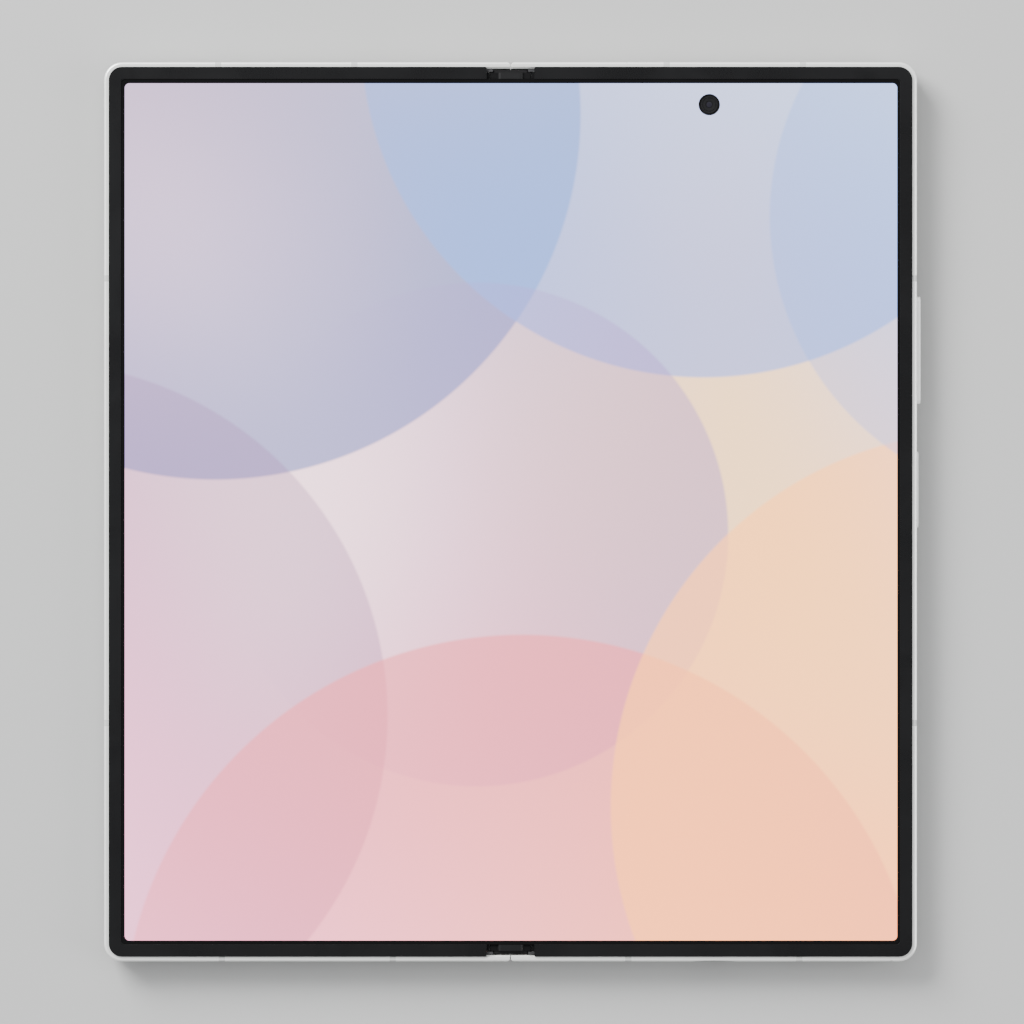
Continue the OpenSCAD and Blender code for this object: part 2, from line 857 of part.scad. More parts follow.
module left_board() {
    color("#14402c") on_table() left_side()
        board(room_x, left_board_x, left_battery_top_y + board_gap, upper_board_y,
            [[0.08, 0.1, 0.34, 0.5], [0.42, 0.15, 0.8, 0.6], [0.1, 0.62, 0.28, 0.85]]);
}

module left_lower_board() {
    color("#14402c") on_table() left_side()
        board(room_x, battery_x, -inner_y + battery_margin, battery_bottom_y - board_gap,
            [[0.07, 0.2, 0.21, 0.6], [0.43, 0.2, 0.64, 0.75]]);
}

module cover_camera() {
    color("#1c1c20") on_table() translate([cover_cam[0], cover_cam[1], 0]) {
        translate([0, 0, cover_t]) cylinder(r = inner_cam_r + 0.4, h = 1.5);
        box_at(-3.2, 3.2, -3.2, 3.2, 1.4, inner_top);
    }
}

module earpiece_speaker() {
    color("#3a3a3e") on_table() left_side()
        translate([room_x + 3.5, inner_y - speaker_l - slack, board_z - 0.3])
            linear_extrude(inner_top - board_z + 0.3) round_box(speaker_w, speaker_l, 1);
}

module tray_cut() {
    translate([half_w - rim_w, tray_y, mid_z]) rotate([90, 0, 90])
        linear_extrude(3) pill(tray_w + 0.1, tray_h + 0.1);
    box_at(inner_x - slack, half_w, tray_y - tray_body_w / 2 - slack,
        tray_y + tray_body_w / 2 + slack, mid_z - tray_t / 2 - slack, mid_z + tray_t / 2 + slack);
}

module sim_tray() {
    x0 = tray_x;
    color("silver") on_table() left_side() difference() {
        union() {
            translate([half_w - rim_w + slack, tray_y, mid_z]) rotate([90, 0, 90])
                linear_extrude(rim_w - slack) pill(tray_w, tray_h);
            box_at(x0, half_w - rim_w + 0.1, tray_y - tray_body_w / 2, tray_y + tray_body_w / 2,
                mid_z - tray_t / 2, mid_z + tray_t / 2);
        }
        // seat for the card
        box_at(x0 + 1.5, x0 + 1.5 + card[0] + 2 * slack, tray_y - card[1] / 2 - slack,
            tray_y + card[1] / 2 + slack, mid_z + tray_t / 2 - card[2], far);
        // hole for the release pin
        translate([half_w - 1.5, tray_y + tray_w / 2 - 1.4, mid_z]) rotate([0, 90, 0])
            cylinder(r = 0.4, h = 3);
    }
}

module sim_card() {
    x0 = tray_x + 1.5 + slack;
    color("gold") on_table() left_side()
        box_at(x0, x0 + card[0], tray_y - card[1] / 2, tray_y + card[1] / 2,
            mid_z + tray_t / 2 - card[2], mid_z + tray_t / 2);
}

module sim_reader() {
    w = tray_body_w / 2;
    color("lightgray") on_table() left_side() difference() {
        box_at(reader_x, inner_x - slack, tray_y - w - 0.8, tray_y + w + 0.8,
            mid_z - tray_t / 2 - 0.45, inner_top);
        box_at(tray_x - 0.3, far, tray_y - w - slack, tray_y + w + slack,
            mid_z - tray_t / 2 - slack, mid_z + tray_t / 2 + slack);
    }
}

module left_screws() {
    color("darkgray") on_table() left_side() at_feet(left_arm_y)
        small_screw(floor_z, arm_top);
}

// ---------- right half's inside ----------

module right_battery() {
    color("#2b2d31") on_table()
        battery(battery_bottom_y, battery_top_y, cover_t + 0.4);
}

module main_board() {
    color("#14402c") on_table() difference() {
        board(room_x, main_board_x, battery_top_y + board_gap, upper_board_y, []);
        translate([main_board_x, battery_top_y + board_gap, 0]) cylinder(r = 4, h = far);
    }
}

// Shield cans; each gives its left, lower, right and upper edge as shares of the main board
module board_shields() {
    w = main_board_x - room_x;
    l = upper_board_y - battery_top_y - board_gap;
    cans = [[0.05, 0.04, 0.49, 0.3], [0.54, 0.1, 0.9, 0.45], [0.05, 0.35, 0.49, 0.7],
        [0.08, 0.75, 0.65, 0.94]];
    color("lightgray") on_table() for (b = cans)
        translate([room_x + b[0] * w, battery_top_y + board_gap + b[1] * l, board_z + board_t])
            linear_extrude(inner_top - board_z - board_t)
                round_box((b[2] - b[0]) * w, (b[3] - b[1]) * l, 0.6);
}

module charge_board() {
    color("#14402c") on_table()
        board(room_x + battery_margin + motor[0] + 2, port_x + port_room, port_back,
            battery_bottom_y - board_gap,
            [[0.14, 0.27, 0.55, 0.72]]);
}

module usb_port() {
    wall = port_wall;
    color("lightgray") on_table() translate([port_x, -half_h + port_depth, mid_z])
        rotate([-90, 0, 0]) {
            difference() {
                linear_extrude(port_len) pill(port_w + 2 * wall, port_h + 2 * wall);
                translate([0, 0, -1]) linear_extrude(port_len + 1 - port_floor) pill(port_w, port_h);
            }
            translate([0, 0, 0.9]) linear_extrude(port_len - 1) square(tongue, center = true);
        }
}

module bottom_speaker() {
    color("#3a3a3e") on_table()
        translate([port_x + port_room + 1, -inner_y + slack, floor_top])
            linear_extrude(inner_top - floor_top)
                round_box(battery_x - port_x - port_room - 2, loudspeaker_l, 1.2);
}

module haptic_motor() {
    color("lightgray") on_table()
        translate([room_x + battery_margin, -inner_y + battery_margin, floor_top])
            linear_extrude(inner_top - floor_top) round_box(motor[0], motor[1], 1);
}

module front_camera() {
    color("#1c1c20") on_table() translate([inner_cam[0], inner_cam[1], 0]) {
        box_at(-3.1, 3.1, -3.1, 3.1, 0.9, inner_top);
        translate([0, 0, inner_top - eps]) cylinder(r = inner_cam_r + 0.4, h = ledge_z - inner_top);
        translate([0, 0, inner_top]) cylinder(r = inner_cam_r - 0.35, h = screen_z - inner_top);
    }
}

module front_camera_lens() {
    color("#08080a") on_table() translate([inner_cam[0], inner_cam[1], screen_z])
        cylinder(r = inner_cam_r - seat, h = screen_t - 0.05);
}

module camera_island() {
    color("silver") on_table() difference() {
        translate([island_x, island_y, -island_rise]) linear_extrude(island_rise)
            rotate(90) pill(island_len, island_w);
        for (y = lens_ys) translate([island_x, y, -far / 2]) cylinder(r = barrel_r + 0.2, h = far);
    }
}

module camera_rings() {
    color("gray") on_table() for (y = lens_ys) translate([island_x, y, 0])
        rotate_extrude() {
            translate([lens_r, -bump]) round_box(ring_r - lens_r, ring_rise, 0.3);
            translate([lens_r, -bump + 0.3]) square([ring_r - lens_r, ring_rise - 0.3]);
        }
}

module camera_lens_covers() {
    color("#08080a") on_table() for (y = lens_ys)
        translate([island_x, y, -bump + 0.25]) cylinder(r = lens_r - seat, h = 0.4);
}

module camera_modules() {
    color("#1c1c20") on_table() for (y = lens_ys) translate([island_x, y, 0]) {
        translate([0, 0, -bump + 0.7]) cylinder(r = barrel_r, h = bump - 0.7 + 1);
        box_at(-6.4, 6.4, -6.4, 6.4, 0.7, inner_top);
    }
}

module flash_led() {
    color("ivory") on_table() translate([flash_at[0], flash_at[1], 0]) {
        cylinder(r = flash_r, h = cover_t + eps);
        box_at(-2.4, 2.4, -2.4, 2.4, cover_t, board_z);
    }
}

module charging_coil() {
    color("peru") on_table() translate([(room_x + battery_x) / 2, coil_y, floor_z])
        difference() {
            cylinder(r = coil_r, h = coil_t);
            translate([0, 0, -1]) cylinder(r = coil_in, h = far);
        }
}

module right_screws() {
    color("darkgray") on_table() at_feet(right_arm_y) small_screw(floor_z, arm_top);
}

module key_switches() {
    color("orange") on_table() {
        box_at(key_pocket_x + slack, key_pocket_x + 0.2, side_y - side_len / 2,
            volume_y + volume_len / 2, mid_z - 0.9, mid_z + 0.9);
        for (y = [side_y, volume_y - volume_len / 3, volume_y + volume_len / 3])
            translate([key_pocket_x + 0.15, y, mid_z]) rotate([0, 90, 0])
                cylinder(r = 0.8, h = switch_t - 0.15);
    }
}

// Key with a flange behind the wall; its outer face is a pill
module key_body(y, len, rise) {
    translate([key_flange_x, y, mid_z]) rotate([90, 0, 90])
        linear_extrude(half_w + rise - key_flange_x) pill(len, key_w);
    box_at(key_flange_x, key_flange_x + key_flange_t, y - len / 2 - 0.7, y + len / 2 + 0.7,
        mid_z - 1.2, mid_z + 1.2);
}

module volume_key() {
    color("silver") on_table() key_body(volume_y, volume_len, volume_rise);
}

module side_key() {
    color("silver") on_table() key_body(side_y, side_len, side_rise);
}

// ---------- nodes ----------

hinge_spine();
hinge_end_cap_top();
hinge_end_cap_bottom();
hinge_bracket_upper();
hinge_bracket_lower();
center_support_plate();
gear_shafts();
hinge_springs();
hinge_screws();
display_fold_strip();
hinge_flex_cable();
left_frame();
left_antenna_bands();
cover_glass();
cover_display();
left_bezel();
main_display_left();
left_display_plate();
left_battery();
left_board();
left_lower_board();
cover_camera();
earpiece_speaker();
sim_reader();
left_hinge_arms();
left_screws();
sim_tray();
sim_card();
right_frame();
right_antenna_bands();
rear_glass();
right_bezel();
main_display_right();
right_display_plate();
right_battery();
main_board();
board_shields();
charge_board();
usb_port();
bottom_speaker();
haptic_motor();
front_camera();
front_camera_lens();
camera_island();
camera_rings();
camera_lens_covers();
camera_modules();
flash_led();
charging_coil();
right_hinge_arms();
right_screws();
key_switches();
volume_key();
side_key();
left_wing_plate();
right_wing_plate();
left_swing_arm();
right_swing_arm();
left_idler_gear();
right_idler_gear();
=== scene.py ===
"""Looks of the folding phone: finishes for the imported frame, detailed pieces in its place, and the studio.

Every size is in millimetres in the row frame: X to the right across the seam, Y to the top, Z out of the
inner screen, with the table at Z = 0. A mesh is scaled to metres as its object is made.
"""

import json
import logging
import math
from dataclasses import dataclass
from enum import Enum
from typing import Callable, Iterable, Sequence

import bmesh
import bpy
from mathutils import Matrix, Vector


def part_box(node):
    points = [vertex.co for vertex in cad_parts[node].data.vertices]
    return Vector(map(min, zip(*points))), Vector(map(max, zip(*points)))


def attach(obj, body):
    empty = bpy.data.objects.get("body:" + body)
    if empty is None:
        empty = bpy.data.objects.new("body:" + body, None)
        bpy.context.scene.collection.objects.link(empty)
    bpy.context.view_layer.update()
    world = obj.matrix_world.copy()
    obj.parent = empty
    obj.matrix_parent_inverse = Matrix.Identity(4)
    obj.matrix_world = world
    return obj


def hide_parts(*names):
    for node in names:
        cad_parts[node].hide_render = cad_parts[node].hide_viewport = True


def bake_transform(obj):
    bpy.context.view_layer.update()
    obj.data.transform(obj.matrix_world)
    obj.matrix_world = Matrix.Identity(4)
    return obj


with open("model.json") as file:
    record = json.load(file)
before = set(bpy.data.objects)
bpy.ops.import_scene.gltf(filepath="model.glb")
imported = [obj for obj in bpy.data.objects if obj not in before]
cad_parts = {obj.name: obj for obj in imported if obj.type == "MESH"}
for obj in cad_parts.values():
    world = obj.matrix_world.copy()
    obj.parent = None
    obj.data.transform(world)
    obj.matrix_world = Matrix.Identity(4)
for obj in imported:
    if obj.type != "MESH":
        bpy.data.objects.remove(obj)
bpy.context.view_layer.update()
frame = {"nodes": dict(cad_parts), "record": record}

LOG = logging.getLogger("phone")
MM = 0.001

# Meshes: points nearer than CLOSE are one point, and angles are in radians.
CLOSE = 1e-4
SMOOTH_ANGLE = math.radians(32)
RIM_ANGLE = 1.0

# Finishes: sizes are in millimetres and tones on a scale of 0 to 255.
SMUDGE_SIZE = 14.0
BUMP_STRENGTH = 0.6
COAT_ROUGHNESS = 0.05
LINE_STRETCH = 0.03
WEAR_BAND = 0.5
WEAR_SCALE = 0.6
WORN_TONE = (238, 238, 236)
WORN_GLOSS = -0.2
COPPER_TONE = (196, 152, 84)
COPPER_SHARE = 0.65
PAD_SCALE = 0.9
PAD_EDGE = (0.12, 0.16)
SLOT_TONE = (60, 62, 66)
SLOTS_END = (10.0, 11.0)

Point = tuple[float, float]
Colour = tuple[float, float, float]


def tone(red: float, green: float, blue: float) -> Colour:
    """Turn a screen colour of 0 to 255 into the linear colour that shaders use.

    Args:
        red: Red of the screen colour.
        green: Green of the screen colour.
        blue: Blue of the screen colour.

    Returns:
        The linear colour.
    """
    def linear(value: float) -> float:
        """Undo the screen's curve on one channel."""
        share = value / 255
        return share / 12.92 if share <= 0.04045 else ((share + 0.055) / 1.055) ** 2.4

    return linear(red), linear(green), linear(blue)


# ---------- node trees ----------

Feed = bpy.types.NodeSocket | float | Sequence[float]


class Graph:
    """Adds and joins nodes in one shader tree."""

    def __init__(self, tree: bpy.types.NodeTree) -> None:
        """Keep the tree that the nodes go into."""
        self.tree = tree

    def add(self, kind: str, **fields: object) -> bpy.types.Node:
        """Add a node and set its fields.

        Args:
            kind: The node's type name.
            fields: Fields of the node and their values.

        Returns:
            The new node.
        """
        node = self.tree.nodes.new(kind)
        for name, value in fields.items():
            setattr(node, name, value)
        return node

    def feed(self, socket: bpy.types.NodeSocket, value: Feed) -> None:
        """Link a socket's source, or set its plain value.

        Args:
            socket: The input to feed.
            value: A socket to link, or the plain value.
        """
        if isinstance(value, bpy.types.NodeSocket):
            self.tree.links.new(value, socket)
        else:
            socket.default_value = value

    def calc(self, operation: str, *values: Feed) -> bpy.types.NodeSocket:
        """Put numbers through a Math node.

        Args:
            operation: The node's operation.
            values: The numbers that go in.

        Returns:
            What comes out.
        """
        node = self.add("ShaderNodeMath", operation=operation)
        for socket, value in zip(node.inputs, values):
            self.feed(socket, value)
        return node.outputs[0]

    def vector(self, operation: str, *values: Feed) -> bpy.types.NodeSocket:
        """Put vectors through a Vector Math node.

        Args:
            operation: The node's operation.
            values: The vectors that go in.

        Returns:
            What comes out, a number or a vector.
        """
        node = self.add("ShaderNodeVectorMath", operation=operation)
        for socket, value in zip(node.inputs, values):
            self.feed(socket, value)
        return node.outputs["Value" if operation in ("LENGTH", "DISTANCE", "DOT_PRODUCT") else "Vector"]

    def mix(self, share: Feed, first: Feed, second: Feed) -> bpy.types.NodeSocket:
        """Mix two colours.

        Args:
            share: How much of the second colour comes out.
            first: The first colour.
            second: The second colour.

        Returns:
            The mixed colour.
        """
        node = self.add("ShaderNodeMix", data_type="RGBA")
        for index, value in ((0, share), (6, first), (7, second)):
            colour = index > 0 and not isinstance(value, bpy.types.NodeSocket)
            self.feed(node.inputs[index], (*value, 1.0) if colour else value)
        return node.outputs[2]

    def flat(self, value: Feed) -> bpy.types.NodeSocket:
        """Drop a vector's Z."""
        return self.vector("MULTIPLY", value, (1.0, 1.0, 0.0))

    def span(self, value: Feed, low: Feed, high: Feed, first: float = 0.0,
             last: float = 1.0) -> bpy.types.NodeSocket:
        """Map a number smoothly from one span to another.

        Args:
            value: The number.
            low: Where the span starts.
            high: Where the span ends.
            first: What comes out at the start.
            last: What comes out at the end.

        Returns:
            The mapped number.
        """
        node = self.add("ShaderNodeMapRange", interpolation_type="SMOOTHSTEP")
        for socket, number in zip(node.inputs, (value, low, high, first, last)):
            self.feed(socket, number)
        return node.outputs[0]

    def parts(self, value: Feed) -> bpy.types.NodeOutputs:
        """Split a vector.

        Args:
            value: The vector.

        Returns:
            The sockets of its three numbers.
        """
        node = self.add("ShaderNodeSeparateXYZ")
        self.feed(node.inputs[0], value)
        return node.outputs

    def noise(self, point: Feed, scale: Feed, **fields: float) -> bpy.types.NodeSocket:
        """Add soft noise.

        Args:
            point: The point at which it is read.
            scale: Its scale.
            fields: Values of its other inputs.

        Returns:
            The noise.
        """
        node = self.add("ShaderNodeTexNoise")
        self.feed(node.inputs["Vector"], point)
        self.feed(node.inputs["Scale"], scale)
        for label, value in fields.items():
            node.inputs[label].default_value = value
        return node.outputs[0]

    def joints(self, point: Feed, scale: float, width: float, brick: Point) -> bpy.types.NodeSocket:
        """Lay rows of bricks and find the joints between them.

        Args:
            point: The point at which they are read.
            scale: Scale of the bricks.
            width: Width of a joint.
            brick: Width and height of a brick.

        Returns:
            One in the joints, nought on the bricks.
        """
        node = self.add("ShaderNodeTexBrick")
        self.feed(node.inputs["Vector"], point)
        labels = ("Scale", "Mortar Size", "Brick Width", "Row Height")
        for label, value in zip(labels, (scale, width, *brick)):
            node.inputs[label].default_value = value
        return node.outputs["Fac"]

    def place(self, tree: bpy.types.NodeTree, **values: Feed) -> bpy.types.NodeOutputs:
        """Place an effect group with its own values.

        Args:
            tree: The group.
            values: Its inputs' values.

        Returns:
            The sockets of its outputs.
        """
        node = self.add("ShaderNodeGroup", node_tree=tree)
        for name, value in values.items():
            self.feed(node.inputs[name], value)
        return node.outputs

    def millimetres(self) -> bpy.types.NodeSocket:
        """Read the point of the piece in its own frame.

        Returns:
            The point in millimetres.
        """
        node = self.add("ShaderNodeMapping")
        node.inputs["Scale"].default_value = (1 / MM,) * 3
        self.feed(node.inputs["Vector"], self.add("ShaderNodeTexCoord").outputs["Object"])
        return node.outputs[0]


def start_material(name: str) -> tuple[bpy.types.Material, Graph, bpy.types.Node]:
    """Start a material.

    Args:
        name: The material's name.

    Returns:
        The material, its tree and its shader.
    """
    material = bpy.data.materials.new(name)
    material.use_nodes = True
    return material, Graph(material.node_tree), material.node_tree.nodes["Principled BSDF"]


class Effects:
    """The shader effects that several finishes share, each built once as a node group."""

    def __init__(self) -> None:
        """Build the groups."""
        number, vector = "NodeSocketFloat", "NodeSocketVector"
        point, edge = {"Vector": vector}, {"Radius": number, "Feather": number}
        sized = point | {"Size": number}
        self.grain = self.build("fine_grain", sized, ("Height", "Shade"), self.fill_grain)
        self.lines = self.build("long_lines", sized, ("Height",), self.fill_lines)
        self.wear = self.build("rim_wear", point | {"Band": number}, ("Mask",), self.fill_wear)
        self.smudge = self.build("soft_smudge", sized, ("Mask",), self.fill_smudge)
        self.plate = self.build("rounded_plate", point | {"Half": vector} | edge, ("Mask",), self.fill_plate)
        self.disc = self.build("soft_disc", point | {"Centre": vector, "Fade": vector} | edge, ("Mask",),
                               self.fill_disc)

    @staticmethod
    def build(name: str, inputs: dict[str, str], outputs: Iterable[str],
              fill: Callable[[Graph, bpy.types.Node, bpy.types.Node], None]) -> bpy.types.NodeTree:
        """Make a group's sockets and have it filled.

        Args:
            name: The group's name.
            inputs: Each input's name and socket type.
            outputs: The outputs' names, each a number.
            fill: Adds the nodes between the group's input and output.

        Returns:
            The group.
        """
        tree = bpy.data.node_groups.new(name, "ShaderNodeTree")
        for label, kind in inputs.items():
            tree.interface.new_socket(name=label, in_out="INPUT", socket_type=kind)
        for label in outputs:
            tree.interface.new_socket(name=label, in_out="OUTPUT", socket_type="NodeSocketFloat")
        graph = Graph(tree)
        fill(graph, graph.add("NodeGroupInput"), graph.add("NodeGroupOutput"))
        return tree

    @staticmethod
    def fill_grain(graph: Graph, given: bpy.types.Node, out: bpy.types.Node) -> None:
        """Fine even grain of a blasted or moulded skin.

        Args:
            graph: The group's tree.
            given: Its input node.
            out: Its output node.
        """
        scale = graph.calc("DIVIDE", 1.0, given.outputs["Size"])
        noise = graph.noise(given.outputs["Vector"], scale, Detail=3.0)
        graph.feed(out.inputs["Height"], noise)
        graph.feed(out.inputs["Shade"], graph.span(noise, 0.35, 0.65))

    @staticmethod
    def fill_lines(graph: Graph, given: bpy.types.Node, out: bpy.types.Node) -> None:
        """Long lines that a brush or a mill leaves along Y.

        Args:
            graph: The group's tree.
            given: Its input node.
            out: Its output node.
        """
        point = graph.vector("MULTIPLY", given.outputs["Vector"], (1.0, LINE_STRETCH, 1.0))
        scale = graph.calc("DIVIDE", 1.0, given.outputs["Size"])
        graph.feed(out.inputs["Height"], graph.noise(point, scale))

    @staticmethod
    def fill_wear(graph: Graph, given: bpy.types.Node, out: bpy.types.Node) -> None:
        """Rubbed patches along the phone's outer edge.

        Args:
            graph: The group's tree.
            given: Its input node.
            out: Its output node.
        """
        point = graph.vector("ABSOLUTE", given.outputs["Vector"])
        reach = graph.parts(graph.vector("SUBTRACT", point, (Shell.half_w, Shell.half_h, 0.0)))
        edge = graph.calc("MAXIMUM", reach[0], reach[1])
        band = graph.span(edge, graph.calc("MULTIPLY", given.outputs["Band"], -1.0), 0.0)
        patches = graph.span(graph.noise(given.outputs["Vector"], WEAR_SCALE, Detail=5.0), 0.5, 0.75)
        graph.feed(out.inputs["Mask"], graph.calc("MULTIPLY", band, patches))

    @staticmethod
    def fill_smudge(graph: Graph, given: bpy.types.Node, out: bpy.types.Node) -> None:
        """Wide faint patches, as handling leaves on glass and metal.

        Args:
            graph: The group's tree.
            given: Its input node.
            out: Its output node.
        """
        scale = graph.calc("DIVIDE", 1.0, given.outputs["Size"])
        noise = graph.noise(given.outputs["Vector"], scale, Detail=4.0, Distortion=0.6)
        graph.feed(out.inputs["Mask"], graph.span(noise, 0.3, 0.7))

    @staticmethod
    def fill_plate(graph: Graph, given: bpy.types.Node, out: bpy.types.Node) -> None:
        """One inside a rectangle with round corners, nought outside.

        Args:
            graph: The group's tree.
            given: Its input node.
            out: Its output node.
        """
        radius = given.outputs["Radius"]
        corner = graph.vector("SUBTRACT", given.outputs["Half"], graph.flat(radius))
        over = graph.vector("SUBTRACT", graph.vector("ABSOLUTE", given.outputs["Vector"]), corner)
        over = graph.flat(graph.vector("MAXIMUM", over, (0.0, 0.0, 0.0)))
        away = graph.calc("SUBTRACT", graph.vector("LENGTH", over), radius)
        graph.feed(out.inputs["Mask"], graph.span(away, 0.0, given.outputs["Feather"], 1.0, 0.0))

    @staticmethod
    def fill_disc(graph: Graph, given: bpy.types.Node, out: bpy.types.Node) -> None:
        """A round disc that is full on one side and fades out towards the other.

        Args:
            graph: The group's tree.
            given: Its input node.
            out: Its output node.
        """
        step = graph.flat(graph.vector("SUBTRACT", given.outputs["Vector"], given.outputs["Centre"]))
        radius = given.outputs["Radius"]
        away = graph.calc("SUBTRACT", graph.vector("LENGTH", step), radius)
        inside = graph.span(away, 0.0, given.outputs["Feather"], 1.0, 0.0)
        slope = graph.calc("DIVIDE", graph.vector("DOT_PRODUCT", step, given.outputs["Fade"]), radius)
        graph.feed(out.inputs["Mask"], graph.calc("MULTIPLY", inside, graph.span(slope, -1.0, 1.0, 1.0, 0.0)))


class Pattern(Enum):
    """The surface detail of a finish."""

    GRAIN = "blasted or moulded grain"
    BRUSHED = "lines of a brush or a mill"
    TRACES = "copper lines under lacquer"
    TURNS = "rings round a centre"
    SLOTS = "etched rows of slots"


@dataclass(frozen=True)
class Finish:
    """A material's colours, gloss and surface detail.

    Attributes:
        colour: Main colour, on a scale of 0 to 255.
        tint: The colour that wide patches lean to.
        metallic: One for bare metal.
        roughness: Mean roughness.
        spread: How much the roughness varies.
        grain: Size of the grain in millimetres.
        depth: Height of the grain in millimetres.
        coat: Weight of a clear coat.
        pattern: Kind of surface detail.
        wear: How strongly the phone's outer edge is rubbed.
        centre: Middle of a pattern of rings.
        specular: Strength of the plain reflection.
    """

    colour: Colour
    tint: Colour
    metallic: float = 0.0
    roughness: float = 0.4
    spread: float = 0.08
    grain: float = 0.12
    depth: float = 0.01
    coat: float = 0.0
    pattern: Pattern = Pattern.GRAIN
    wear: float = 0.0
    centre: Point = (0.0, 0.0)
    specular: float = 0.5

    def make(self, name: str, effects: Effects) -> bpy.types.Material:
        """Build the material.

        Args:
            name: The material's name.
            effects: The shared effect groups.

        Returns:
            The material.
        """
        material, graph, shader = start_material(name)
        point = graph.millimetres()
        smudge = graph.place(effects.smudge, Vector=point, Size=SMUDGE_SIZE)["Mask"]
        grain = graph.place(effects.grain, Vector=point, Size=self.grain)
        colour = graph.mix(smudge, tone(*self.colour), tone(*self.tint))
        height = grain["Height"]
        rough = graph.calc("MULTIPLY_ADD", grain["Shade"], self.spread, self.roughness - self.spread)
        rough = graph.calc("MULTIPLY_ADD", smudge, self.spread, rough)
        if self.pattern is Pattern.BRUSHED:
            height = graph.place(effects.lines, Vector=point, Size=self.grain)["Height"]
        elif self.pattern is Pattern.TRACES:
            colour, height = self.traces(graph, point, colour)
        elif self.pattern is Pattern.TURNS:
            height = self.turns(graph, point)
        elif self.pattern is Pattern.SLOTS:
            colour, height = self.slots(graph, point, colour)
        if self.wear:
            rubbed = graph.place(effects.wear, Vector=point, Band=WEAR_BAND)["Mask"]
            mask = graph.calc("MULTIPLY", rubbed, self.wear)
            colour = graph.mix(mask, colour, tone(*WORN_TONE))
            rough = graph.calc("MULTIPLY_ADD", mask, WORN_GLOSS, rough)
        bump = graph.add("ShaderNodeBump")
        bump.inputs["Strength"].default_value = BUMP_STRENGTH
        bump.inputs["Distance"].default_value = self.depth * MM
        graph.feed(bump.inputs["Height"], height)
        graph.feed(shader.inputs["Normal"], bump.outputs[0])
        graph.feed(shader.inputs["Base Color"], colour)
        graph.feed(shader.inputs["Roughness"], rough)
        shader.inputs["Metallic"].default_value = self.metallic
        shader.inputs["Coat Weight"].default_value = self.coat
        shader.inputs["Coat Roughness"].default_value = COAT_ROUGHNESS
        shader.inputs["Specular IOR Level"].default_value = self.specular
        return material

    @staticmethod
    def traces(graph: Graph, point: Feed, colour: Feed) -> tuple[bpy.types.NodeSocket, bpy.types.NodeSocket]:
        """Lay copper lines and pads over a lacquer colour.

        Args:
            graph: The material's tree.
            point: The point in millimetres.
            colour: The lacquer's colour.

        Returns:
            The colour and the height.
        """
        lines = graph.joints(point, scale=0.8, width=0.04, brick=(1.9, 0.42))
        pads = graph.add("ShaderNodeTexVoronoi")
        graph.feed(pads.inputs["Vector"], point)
        pads.inputs["Scale"].default_value = PAD_SCALE
        spots = graph.span(pads.outputs["Distance"], *PAD_EDGE, 1.0, 0.0)
        copper = graph.calc("MAXIMUM", lines, spots)
        share = graph.calc("MULTIPLY", copper, COPPER_SHARE)
        return graph.mix(share, colour, tone(*COPPER_TONE)), copper

    def turns(self, graph: Graph, point: Feed) -> bpy.types.NodeSocket:
        """Turn fine rings round the pattern's centre.

        Args:
            graph: The material's tree.
            point: The point in millimetres.

        Returns:
            The height.
        """
        step = graph.flat(graph.vector("SUBTRACT", point, (*self.centre, 0.0)))
        rings = graph.calc("MULTIPLY", graph.vector("LENGTH", step), 2 * math.pi / self.grain)
        return graph.calc("MULTIPLY_ADD", graph.calc("SINE", rings), 0.5, 0.5)

    @staticmethod
    def slots(graph: Graph, point: Feed, colour: Feed) -> tuple[bpy.types.NodeSocket, bpy.types.NodeSocket]:
        """Etch rows of narrow slots that let a steel sheet bend about Y.

        Args:
            graph: The material's tree.
            point: The point in millimetres.
            colour: The steel's colour.

        Returns:
            The colour and the height.
        """
        turned = graph.add("ShaderNodeMapping")
        turned.inputs["Rotation"].default_value = (0.0, 0.0, math.pi / 2)
        graph.feed(turned.inputs["Vector"], point)
        rows = graph.joints(turned.outputs[0], scale=1.0, width=0.05, brick=(4.0, 0.5))
        near = graph.span(graph.calc("ABSOLUTE", graph.parts(point)[0]), *SLOTS_END, 1.0, 0.0)
        cut = graph.calc("MULTIPLY", rows, near)
        return graph.mix(cut, colour, tone(*SLOT_TONE)), graph.calc("SUBTRACT", 1.0, cut)


